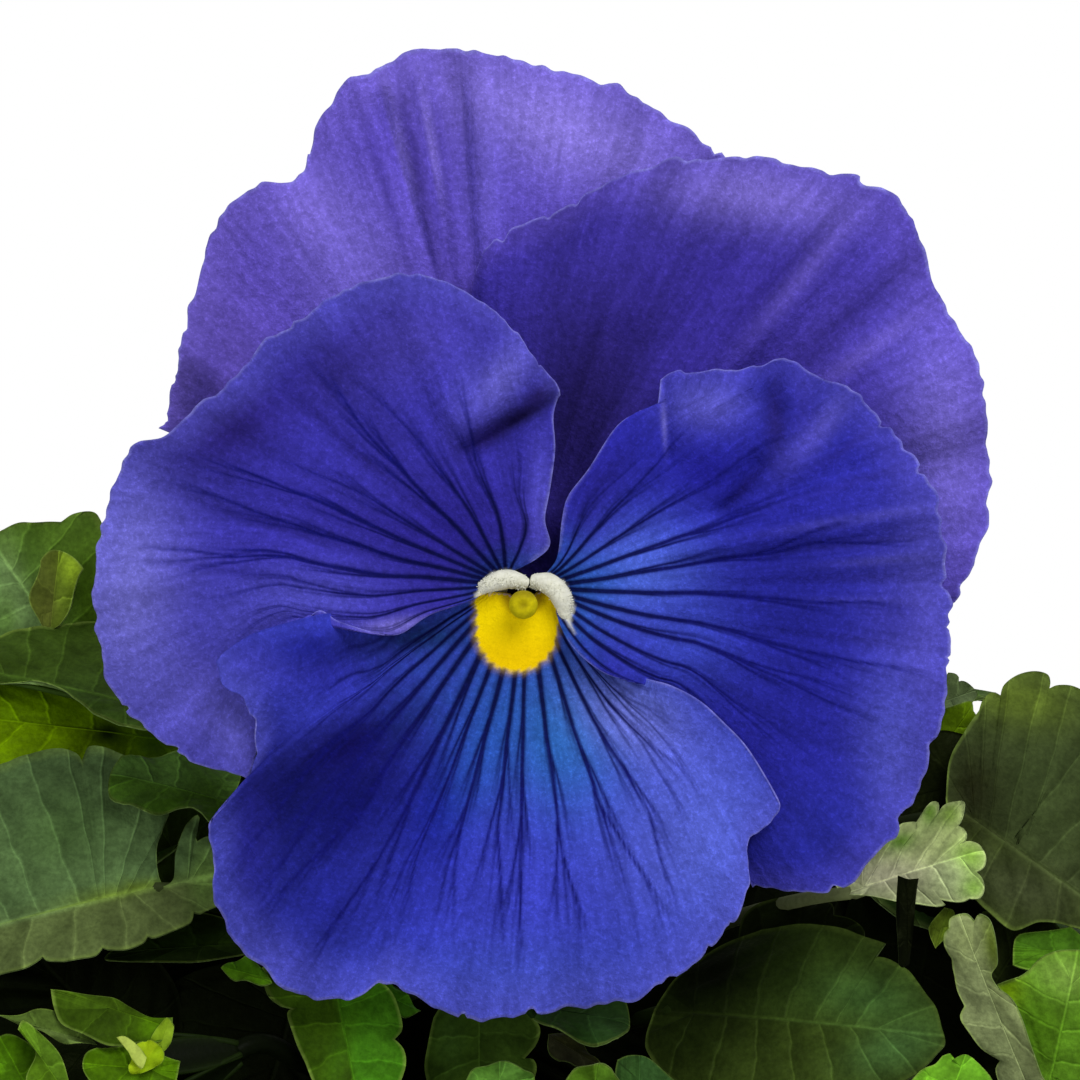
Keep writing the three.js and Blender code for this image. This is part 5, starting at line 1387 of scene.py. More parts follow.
        "-27.9, 43.6 -28.6, 41.3 -26.6 | 39.1 -23.9, 38 -20.4"), patches(
        "44.5 -7.9 5 2.4 -0.2 #5c6e2a 0.85, 40.4 -15.9 3.2 4.5 0 #17170c 0.95, 47.1 -15 4 5 0 #37442a 0.6, "
        "44.5 -24.8 6 2.6 -0.3 #424838 0.7"), roots={0: 0.05, 1: 0.08, 2: 0.15, 3: 0.3}, rim_light=0.3),
    # grey-green, small
    DrawnLeaf((36.9, -8.3, -30), (40.6, -7, -30), (0.1, 0.2, 0.95), ("#5d6e50", "#64755a"), (
        "37 -8.9, 37.1 -7, 38 -5.5 | 38.7 -5.6, 39 -6, 38.5 -6.4 | 39.3 -6.2, 40.2 -6.8, 40.7 -7.4, 40.2 "
        "-8.1 | 38.7 -9.2"), rim_light=0.3),
    # bright, small
    DrawnLeaf((36.9, -12.9, -27), (40.2, -8.4, -27), (0.3, 0.2, 0.93), ("#57720f", "#62800f"), (
        "36.4 -12.8, 37 -10.1, 37.6 -8.6 | 38.9 -8.2, 40.2 -8, 40.4 -8.9 | 40.7 -9.8, 39.6 -10.8, 38.7 "
        "-11.9 | 37.8 -13.2"), rim_light=0.6, stalk=False),
    # shaded, right of the bloom
    DrawnLeaf((37.3, -18.1, -25), (39.1, -11.9, -25), (0, 0.2, 0.97), ("#14190a", "#14190a"), (
        "33.5 -18.6, 35.4 -12.8, 37.4 -10.6, 41.8 -11.6 | 41.8 -16.8, 39.6 -20.4 | 35.4 -21.4"),
        rim_light=0),
    # pale, curled
    DrawnLeaf((46.2, -44.6, -8), (39.1, -27, -6), (-0.45, 0.05, 0.89), ("#7d876a", "#788264"), (
        "43.6 -44.5, 42.7 -42.2, 42.3 -40.9, 42.7 -40.2 | 41.3 -39.1, 40.2 -37.3, 39.4 -36, 39.7 -35.1 | "
        "38.9 -33.8, 38.5 -32, 38.4 -30.9 | 37.9 -29.7, 37.9 -28.6, 38.3 -28.1 | 38.3 -27.3, 38.9 -27, 39.7 "
        "-27, 40.3 -27.7 | 40.7 -27.1, 41.6 -27.5, 42.2 -28.6, 42.6 -30 | 42.7 -31.3, 42.1 -32.4, 42.7 "
        "-33.8 | 43.8 -34.8, 45 -36.9, 45.9 -39.1, 46.5 -41.6 | 47.1 -43.6, 45.4 -44.9"), patches(
        "42 -29.7 0.8 3 0.2 #55661a 0.9, 39.6 -29.3 1.4 2 0 #87926c 0.7"),
        roots={7: 0.6, 6: 0.72, 5: 0.8}, rim_light=0.5),
    # bright, lower right
    DrawnLeaf((46.4, -44.6, -14), (49.6, -30.2, -11), (0.15, 0.4, 0.9), ("#567f22", "#5a8626"), (
        "45.8 -44.5, 45.4 -40, 43.6 -35.5, 42.3 -33.3 | 43.6 -32.8, 44.5 -32.5, 45.4 -31.8 | 46.4 -30.9, 48 "
        "-30.3, 50.3 -30.2 | 53.4 -31.5, 54.3 -35.5 | 53.4 -40.9, 49.8 -44.9"), patches(
        "48.5 -32.4 3 1.8 -0.3 #86ac54 0.9, 43.1 -33.8 1.5 1.5 0 #7ba012 0.9, 46.2 -37.3 1.6 3 0.2 #4a7414 "
        "0.6"), rim_light=0.5),
    # bright, between
    DrawnLeaf((50.3, -30.6, -16), (44.1, -30.2, -17), (0.1, 0.5, 0.86), ("#47701a", "#40681a"), (
        "43.8 -31.5, 44.1 -29.3, 45.8 -28.6, 48.9 -28.3 | 50.3 -29.7, 50.3 -31.5 | 46.2 -32.1"),
        rim_light=0.4, stalk=False),
    # bright, lowest right
    DrawnLeaf((37.8, -44.6, -5), (39.6, -39.6, -6), (0, 0.5, 0.86), ("#5f9428", "#66a02c"), (
        "33.8 -42.9, 35.5 -41.1, 36.8 -40.5, 37.5 -39.6 | 38.2 -39.4, 38.4 -40.1 | 39.6 -39.6, 40.7 -40.2, "
        "41.5 -41.1 | 42 -42.7, 39.6 -44.9 | 36 -44.6"), rim_light=0.6),
    # stipule, right
    DrawnLeaf((36.9, -30, -12), (38, -26.4, -12), (0, 0.3, 0.95), ("#4a5a1c", "#566a20"), (
        "36.9 -30, 36.3 -28.2, 37.7 -26.4 | 38.6 -26.8, 38.2 -28.6"), stalk=False),
    # leaf stalk before the pale leaf, painted near-black for its shade
    DrawnLeaf((34.4, -31.5, -8), (34.3, -23.6, -9), (0, 0.1, 0.99), ("#050702", "#060802"), (
        "33.5 -23.6, 34.4 -23.9, 35.4 -23.8 | 35 -27, 34.6 -31.5 | 34 -31.8, 33.6 -31.5 | 33.4 -27"),
        rim_light=0, stalk=False),
    # shaded, behind the curled leaf
    DrawnLeaf((40.2, -36.6, -19), (45.5, -27.7, -19), (0, 0.3, 0.95), ("#1a220c", "#151c09"), (
        "40.2 -36.6, 39.3 -31.3, 41.1 -26.8 | 44.6 -26.4, 48.2 -28.6, 48.2 -33.9 | 45.5 -37.5, 40.2 -36.6"),
        rim_light=0.1, stalk=False),
    # deep shade 1
    deep_shade((-24.3, -34.6, -25), (-34.1, -16.8, -25),
        "-37.7 -34.6, -38.6 -25.7, -35.9 -16.8, -28.8 -15.4 | -21.6 -18.6, -19.8 -25.7, -20.7 -32.9 | -24.3 "
        "-38.2, -32.3 -39.1"),
    # deep shade 2
    deep_shade((-19.8, -32.9, -19), (-23.4, -45.4, -19),
        "-33.2 -42.7, -32.3 -34.6, -27 -31.5, -19.8 -32 | -12.7 -34.6, -10.9 -40, -12.7 -44.5 | -19.8 "
        "-45.8, -28.8 -45.8"),
    # deep shade 3
    deep_shade((-0.2, -33.8, -24), (0.7, -45.4, -24),
        "-12.7 -44.5, -11.8 -36.4, -6.4 -33.8, 1.6 -33.3 | 10.5 -32.9, 14.1 -36.4, 13.2 -43.6 | 7 -45.8, "
        "-6.4 -45.8"),
    # deep shade 4
    deep_shade((11.4, -32.9, -27), (33.8, -40, -27),
        "8.8 -35.5, 12.3 -29.3, 19.5 -24.4, 27.5 -23.9 | 36.4 -23.9, 39.1 -31.1, 37.3 -39.1 | 33.8 -44.5, "
        "15.9 -44.5"),
    # deep shade 5
    deep_shade((33.8, -41.8, -29), (39.1, -15, -29),
        "27.5 -34.6, 29.3 -25.7, 33.8 -18.6, 38.2 -14.6 | 42.7 -18.6, 43.6 -25.7, 42.7 -34.6 | 40.9 -44.5, "
        "32 -44.5"),
    # deep shade 6
    deep_shade((-32.3, -42.7, -18), (-44.8, -29.3, -18),
        "-50.2 -34.6, -49.3 -29.3, -41.2 -27.9, -34.1 -29.3 | -30.5 -34.6, -31.4 -41.8, -37.7 -44.9 | -46.6 "
        "-44.9, -50.2 -40"),
    # deep shade 7
    deep_shade((42.7, -43.6, -21), (48.9, -31.1, -21),
        "40 -42.7, 41.8 -34.6, 46.2 -30.2, 51.6 -30.2 | 55.2 -35.5, 53.4 -42.7 | 46.2 -45.4"),
)

BUD_SEPALS = (
    # bud: upper sepal
    DrawnLeaf((-31.1, -37.3, 1.2), (-42, -33.8, -0.8), (0, 0.35, 0.93), ("#31470d", "#38500e"), (
        "-42 -33.8, -39.5 -34.1, -36.6 -34.5, -35 -35.4, -33.2 -36.2, -31.2 -36.2 | -31.3 -37.3, -32.3 "
        "-38.5, -34.1 -38.5 | -36.8 -38.8, -39 -37.9, -41.1 -36.8, -41.8 -35.3"), patches(
        "-32.8 -37.1 1.8 1.2 0 #4c7206 0.9"), rim_light=0.35, stalk=False),
    # bud: grey-green sepal
    DrawnLeaf((-37.9, -38.6, 0.2), (-46.6, -36.2, -0.8), (0, 0.35, 0.93), ("#56693c", "#4a5f2c"), (
        "-37.9 -38.6, -39.8 -36.6, -41.4 -35.7 | -43.9 -35.7, -46.6 -36.2 | -44.8 -36.8, -42.6 -37.7, -40.4 "
        "-38.6"), rim_light=0.5, stalk=False),
    # bud: left sepal
    DrawnLeaf((-40.9, -42.7, 0.2), (-45, -36.8, 0.2), (0, 0.3, 0.95), ("#4a6a16", "#527420"), (
        "-45 -37.3, -44.5 -36.5, -42.9 -37.7, -41.2 -39.6, -40.4 -42.2 | -41.1 -44, -43.6 -44.5 | -44.3 "
        "-41.8, -43.4 -39.3"), rim_light=0.6, stalk=False),
    # bud: broad left
    DrawnLeaf((-43, -44.6, -0.8), (-46.6, -38, -1.8), (0, 0.3, 0.95), ("#3c600a", "#3f6408"), (
        "-48.8 -39.6, -45.9 -37.8, -43 -39.3, -41.2 -41.8 | -42.7 -44.5, -48.4 -44.6 | -50 -42.2"),
        rim_light=0.3, stalk=False),
    # bud: lower sepal
    DrawnLeaf((-30.7, -41.1, 1.2), (-39.1, -40.4, 1.2), (0, 0.3, 0.95), ("#45680a", "#486c08"), (
        "-30.5 -40.2, -33.2 -39.1, -35.7 -38.8, -37.9 -39 | -38.9 -39.6, -39.2 -40.9, -38.1 -42.5 | -35 "
        "-44.3, -31.6 -43.6"), rim_light=0.45, stalk=False),
)

FURLED_PETALS = (
    # furled petal, light
    DrawnLeaf((-34.1, -40.7, 2.7), (-36.1, -38, 2.7), (0, 0.2, 0.97), ("#a9bb5a", "#b3c468"), (
        "-36.2 -38, -35.4 -37.9, -34.2 -38.8, -33.5 -39.8 | -34 -40.8, -34.8 -40 | -35.4 -38.8"),
        rim_light=0.3, stalk=False),
    # furled petal, yellow
    DrawnLeaf((-34.3, -41.2, 2.2), (-32.5, -38.6, 2.2), (0, 0.2, 0.97), ("#9bb61c", "#8fae18"), (
        "-35 -40.4, -34.6 -38.8, -33.2 -38.2, -32.2 -38.8 | -31.9 -40, -33 -40.8, -34 -41.2 | -34.9 -41.3"),
        rim_light=0.4, stalk=False),
    # furled petal, curl
    DrawnLeaf((-32.5, -39.5, 1.7), (-31.4, -36.2, 1.7), (0, 0.2, 0.97), ("#7c9a24", "#88a62e"), (
        "-33.2 -38.3, -32.5 -37, -31.6 -36.2, -31.1 -37 | -31.2 -38.2, -31.9 -39.2, -32.5 -39.5 | -32.9 -39"),
        rim_light=0.5, stalk=False),
)

GREENS = ("#3a5520", "#466422", "#33491f", "#506c2c", "#40601c", "#2d441a")


@dataclass
class Foliage:
    """Leafy stems: leaves on stalks round eight stems that stand in the soil."""

    soil_level: float = SOIL_LEVEL
    root_depth: float = ROOT_DEPTH
    stems: int = 8
    stem_ring: float = 10.0
    stem_radius: float = 1.7
    stem_height: float = 50.0
    stem_lean: float = 0.13
    apex: float = 90.0
    leaves: int = 58
    lowest: float = 25.0
    highest: float = 79.0
    seed: int = 191
    front_sector: float = 62.0
    front_height: float = 38.0
    blade: float = 0.42
    around: int = 112
    rings: int = 13
    around_inside: int = 72   # the shaded leaves inside the mound are coarser
    rings_inside: int = 8
    margin_step: float = 0.25
    vein_apart: float = 4.2
    pigment_depth: float = 0.82
    # balances the drawn colours, which were read off lit leaves, for this studio's light
    fresh: tuple = (0.98, 1.0, 0.7)
    inner: int = 60

    def stem_angle(self, k: int) -> float:
        """Direction of stem k round the pot, in degrees."""
        return -112.5 + 360 / self.stems * k

    def stem_at(self, k: int, z: float) -> Array:
        """Centre of stem k at height z."""
        r = self.stem_ring + self.stem_lean * (z - self.soil_level)
        turn = np.radians(self.stem_angle(k))
        return np.array([r * np.cos(turn), r * np.sin(turn), z])

    def nearest(self, p: Array) -> int:
        """The stem that stands nearest to a point, seen from above."""
        turn = np.degrees(np.arctan2(p[1], p[0]))
        return int(np.floor((turn - self.stem_angle(0)) / (360 / self.stems) + 0.5)) % self.stems

    def drawn_plan(self, entry: DrawnLeaf, seed: int) -> LeafPlan:
        """Stands a drawn leaf in its place and leads a stalk to it from the nearest stem."""
        base, tip = (in_sight(x, u, on_face(0, 0, n), FACE_OUT) for x, u, n in (entry.base, entry.tip))
        stem = self.nearest(base)
        height = min(self.soil_level + self.stem_height - 3, mix(self.soil_level, base[2], 0.72))
        foot = self.stem_at(stem, height)
        lean = mix(foot, base, 0.55) + np.array([0, 0, 0.1 * np.linalg.norm(base - foot)])
        return LeafPlan(stem, foot, lean, base, tip, face_direction(entry.facing), 1.0, 0.04, 0.1,
                        colour=entry.halves[0], seed=100 + seed, drawn=entry)

    def mound_leaves(self) -> list:
        """Leaves placed by rule: golden angle round the plant, rising evenly over a mound."""
        random = draws(self.seed)
        plans = []
        low, high = np.sin(np.radians(self.lowest)), np.sin(np.radians(self.highest))
        for i in range(self.leaves):
            d1, d2, d3, d4 = random(), random(), random(), random()
            rise = np.degrees(np.arcsin(mix(low, high, (i + 0.5) / self.leaves)))
            turn = i * GOLDEN_ANGLE + 8 * (d1 - 0.5)
            front = abs(((turn + 90) % 360 + 540) % 360 - 180)
            if front < self.front_sector and rise > self.front_height:
                continue
            climb = (rise - self.lowest) / (self.highest - self.lowest)
            sway = np.radians(turn)
            outward = np.array([np.cos(sway), np.sin(sway), 0])
            reach = mix(55, 84, climb) * (1 - 0.05 * np.cos(sway)) * mix(0.97, 1.03, d2)
            base = outward * reach * np.cos(np.radians(rise))
            base[2] = self.apex + reach * np.sin(np.radians(rise))
            length = mix(32, 28, climb) * mix(0.92, 1.08, d3)
            fall = np.radians(16 * climb ** 3 - 8 - 28 * np.sin(np.pi * climb ** 0.9))
            twist = np.radians(24 * (d4 - 0.5))
            heading = np.array([outward[0] * np.cos(twist) - outward[1] * np.sin(twist),
                                outward[0] * np.sin(twist) + outward[1] * np.cos(twist), 0])
            tip = base + heading * length * np.cos(fall) + np.array([0, 0, length * np.sin(fall)])
            facing = heading * -np.sin(fall) + np.array([0, 0, np.cos(fall)])
            stem = self.nearest(base)
            height = min(self.soil_level + self.stem_height - 2, self.apex + 13 * np.tan(np.radians(rise)))
            foot = self.stem_at(stem, max(self.soil_level + 3, height))
            lean = mix(foot, base, 0.6) + np.array([0, 0, 2.0])
            plans.append(LeafPlan(stem, foot, lean, base, tip, facing, length * 0.78, 0.1, 0.16,
                                  colour=GREENS[i % len(GREENS)], seed=i))
        return plans

    def inner_leaves(self) -> list:
        """Young leaves inside the mound, by rule with seeded draws; they close it up."""
        rng = np.random.default_rng(303)
        plans = []
        for i in range(self.inner):
            turn = np.radians(i * GOLDEN_ANGLE)
            outward = np.array([np.cos(turn), np.sin(turn), 0])
            base = outward * rng.uniform(14, 40)
            base[2] = mix(110, 152, (i * 0.618) % 1.0)
            length = rng.uniform(19, 26)
            fall = np.radians(rng.uniform(-25, 45))
            tip = base + outward * length * np.cos(fall) + np.array([0, 0, length * np.sin(fall)])
            out, up = (tip - BLOOM_CENTRE) @ FACE_OUT, (tip - BLOOM_CENTRE) @ FACE_UP
            if out > -14 and (up > -40 or out > 2) or base[2] > 140 and base[1] < -16:
                continue
            facing = outward * -np.sin(fall) + np.array([0, 0, np.cos(fall)])
            stem = self.nearest(base)
            foot = self.stem_at(stem, min(base[2] - 4, self.soil_level + self.stem_height - 3))
            # their near-black colour is painted shade, deep inside the mound
            plans.append(LeafPlan(stem, foot, mix(foot, base, 0.6) + np.array([0, 0, 1.5]), base, tip, facing,
                                  length * 0.8, 0.1, 0.16, colour="#0e1606", seed=200 + i, coarse=True))
        return plans

    def blade_points(self, plan: LeafPlan) -> tuple:
        """A leaf blade as rings that grow from its middle to its scalloped margin.

        The outline is an egg shape with a notch at the stalk and a blunt tip, times rounded
        scallops. Each point is then carried along the midrib's bend and lifted by the fold,
        the pillows between the veins and a slow wave of the margin.

        Args:
            plan: The leaf.

        Returns:
            Grid of points, of their place along and across the leaf, and of the ring's share.
        """
        rng = np.random.default_rng(plan.seed + 400)
        length = np.linalg.norm(plan.tip - plan.base)
        around, rings = (self.around_inside, self.rings_inside) if plan.coarse else (self.around, self.rings)
        turn = np.linspace(0, TAU, around, endpoint=False)
        ring = (np.linspace(0.0, 1, rings) ** 0.9)[:, None]
        ring[0] = 0.015
        off = np.minimum(turn, TAU - turn)
        egg = 1 - 0.2 * np.cos(turn)
        half = plan.width / 2
        lobes = plan.teeth * 2 + 1
        phase = (turn / TAU * lobes + 0.5) % 1.0
        scallop = 1 - np.abs(2 * phase - 1) ** 3.2
        calm = ramp(0.35, 0.8, np.pi - off)
        lift = 1 + plan.tooth * 2 * (scallop - 0.6) * calm
        x_rim = half * np.sin(turn) * egg * lift
        y_rim = length * (0.475 + 0.485 * np.cos(turn) * lift)
        notch = 1.25 * bell(np.pi - off, 0.34) - 0.35 * bell(np.pi - off - 0.75, 0.4)
        y_rim = y_rim + plan.heart * length * notch
        y_rim = y_rim + 0.015 * length * bell(off, 0.3)
        hub = 0.4 * length
        side = unit(np.cross(plan.tip - plan.base, plan.facing))
        if plan.drawn:
            x_rim, y_rim, hub, turn, beat = self.drawn_rim(plan, side)
        width = 2 * np.abs(x_rim).max()
        x = x_rim * ring
        y = hub + (y_rim - hub) * ring
        v = y / length
        middle = (plan.base + plan.tip) / 2 + plan.facing * plan.arch * length
        c = bend(plan.base, middle, plan.tip, v)
        tangent = unit((middle - plan.base) * (1 - v)[..., None] + (plan.tip - middle) * v[..., None])
        across = unit(side - tangent * (tangent @ side)[..., None])
        up = np.cross(across, tangent)
        spread = np.abs(x)
        rise = plan.fold * (np.sqrt(spread ** 2 + 1.0) - 1.0) * 0.9
        rise = rise - 0.012 * spread ** 2 * (0.6 + 0.8 * rng.uniform())
        pillow = np.abs(np.sin(np.pi * (v * 6.5 - 1.15 * 6.5 * (spread / width) ** 0.82)))
        rise = rise + 0.015 * width * (pillow - 0.5) * ramp(0.3, 2.0, spread) * (1 - 0.6 * ring ** 3)
        height, waves, start = rng.uniform(0.3, 0.75), rng.integers(3, 6), rng.uniform(0, TAU)
        rise = rise + height * ring ** 3 * np.sin(turn * waves + start)
        points = c + across * x[..., None] + up * rise[..., None]
        if plan.drawn:
            skin = LeafFinish
            v = beat / skin.side_veins + skin.vein_slope * (spread / width) ** skin.vein_bend
        return points, np.stack([x / width + 0.5, v], -1), np.broadcast_to(ring, x.shape), up

    def drawn_rim(self, plan: LeafPlan, side: Array) -> tuple:
        """Margin of a drawn leaf in its own plane.

        Args:
            plan: The leaf.
            side: Unit direction across it.

        Returns:
            Place across and along, where each point's vein leaves the midrib, the turn, and the
            count of veins passed.
        """
        run = plan.tip - plan.base
        length = np.linalg.norm(run)
        normal = unit(np.cross(side, run))
        seen, roots, marks, veins = [], [], [], []
        for number, lobe in enumerate(plan.drawn.lobes()):
            chord = np.linalg.norm(np.diff(np.array(lobe), axis=0), axis=1).sum()
            edge = along(lobe, np.linspace(0, 1, max(6, int(chord / self.margin_step)), endpoint=False))
            seen.append(edge)
            spot = in_sight(edge[:, 0], edge[:, 1], plan.base, normal) - plan.base
            share = np.clip(0.85 * (spot @ run).mean() / length ** 2, 0.1, 0.85)
            roots.append(plan.drawn.roots.get(number, share))
            ahead = sum(map(len, seen)) - len(edge)
            marks.append(ahead + len(edge) / 2)
            several = max(1, round(chord / self.vein_apart))
            veins.extend(ahead + (np.arange(several) + 0.5) / several * len(edge))
        edge = np.concatenate(seen)
        spot = in_sight(edge[:, 0], edge[:, 1], plan.base, normal) - plan.base
        place = np.arange(len(edge))
        root = np.interp(place, marks, roots, period=len(edge))
        beat = np.interp(place, veins, np.arange(len(veins)) + 0.5)
        return spot @ side, spot @ run / length, root * length, place * TAU / len(edge), beat

    def drawn_colour_and_shade(self, drawn: DrawnLeaf, grid: Array, across: Array, ring: Array) -> Array:
        """Colour of a drawn leaf: one for each half, patches and a paler rim, with painted light, shadow and
        sheen in them.
        """
        left, right = (linear(c) for c in drawn.halves)
        tint = mix(left, right, ramp(0.48, 0.52, across)[..., None])
        x, u = as_seen(grid)
        for p in drawn.patches:
            tint = mix(tint, linear(p.colour), p.cover(x, u)[..., None])
        paler = drawn.rim_light * ramp(0.955, 1.0, ring)
        return mix(tint, linear(drawn.rim), paler[..., None]) * self.fresh

    def leaf(self, body: Body, plan: LeafPlan, slot: int = 0) -> None:
        """Adds one leaf, blade and stalk, to a stem's body."""
        grid, uv, ring, up = self.blade_points(plan)
        lines, columns = grid.shape[:2]
        half = mix(self.blade, self.blade * 0.45, ring ** 6)[..., None] / 2
        top, low = grid + up * half, grid - up * half
        n = lines * columns
        points = np.concatenate([top.reshape(-1, 3), low.reshape(-1, 3)])
        faces = grid_faces(lines, columns, True)
        wall = band(n - columns, 2 * n - columns, columns)
        hub = np.arange(columns)[None]
        caps = [hub[:, ::-1], n + hub]
        tone = linear(plan.colour) * self.pigment_depth
        rng = np.random.default_rng(plan.seed + 800)
        v = uv[..., 1]
        if plan.drawn:
            tint = self.drawn_colour_and_shade(plan.drawn, grid, uv[..., 0], ring)
        else:
            tone = tone * rng.uniform(0.88, 1.14)
            tint = np.broadcast_to(tone, (*v.shape, 3))
            tint = mix(tint, tone * 1.25 + linear("#202a08"), (0.5 * ramp(0.35, 0.0, v))[..., None])
            tint = tint * (1 + 0.1 * np.tanh((uv[..., 0] - 0.5) * 6) * rng.choice([-1, 1]))[..., None]
            # painted light: a pale rim round the margin
            tint = mix(tint, mix(tone, linear("#90ab58"), 0.5), (0.7 * ramp(0.95, 1.0, ring))[..., None])
        tint = tint * (1 + 0.16 * lattice_noise(uv[..., 0] * 4 + plan.seed, v * 4, 81))[..., None]
        under = np.broadcast_to(mix(linear(plan.under), tone, 0.35), tint.shape)
        pattern = np.tile(uv.reshape(-1, 2), (2, 1))
        body.add(points, [faces, faces[:, ::-1] + n, wall[:, ::-1], *caps], pattern,
                 np.concatenate([tint.reshape(-1, 3), under.reshape(-1, 3)]), slot)
        if plan.drawn and not plan.drawn.stalk:
            return
        length = np.linalg.norm(plan.tip - plan.base)
        t = np.linspace(0, 1, 18)
        stalk = bend(plan.foot, plan.lean, plan.base, t)
        middle = (plan.base + plan.tip) / 2 + plan.facing * plan.arch * length
        rib = bend(plan.base, middle, plan.tip, np.linspace(0.04, 0.75, 9)) - plan.facing * 0.62
        path = np.concatenate([stalk, rib])
        radii = np.concatenate([np.linspace(0.95, 0.62, 18), np.linspace(0.55, 0.15, 9)])
        points, faces, share = tube(path, radii, 10)
        colour = mix(linear("#33471c"), linear("#4c6629"), share[:, 1][:, None])
        if plan.drawn:
            # painted shade: drawn leaves' stalks are darkened, most at the foot inside the mound
            colour = linear(plan.colour) * self.fresh * mix(0.12, 0.5, ramp(0.3, 0.66, share[:, 1])[:, None])
        body.add(points, faces, share, colour, 1)

    def stem(self, k: int, plans: list, finishes: list) -> Object:
        """Builds one leafy stem with all its leaves."""
        body = Body()
        z = np.linspace(self.soil_level - self.root_depth, self.soil_level + self.stem_height, 30)
        centres = np.array([self.stem_at(k, h) for h in z])
        radii = self.stem_radius * np.linspace(1, 0.62, 30)
        for j in range(6, 30, 6):
            radii[j] *= 1.16
        points, faces, share = tube(centres, radii, 16)
        body.add(points, faces, share, mix(linear("#46592a"), linear("#3a4f20"), share[:, 1][:, None]), 1)
        for plan in plans:
            if plan.stem == k:
                self.leaf(body, plan)
        return body.build(f"leafy_stem_{k + 1}_foliage", finishes)


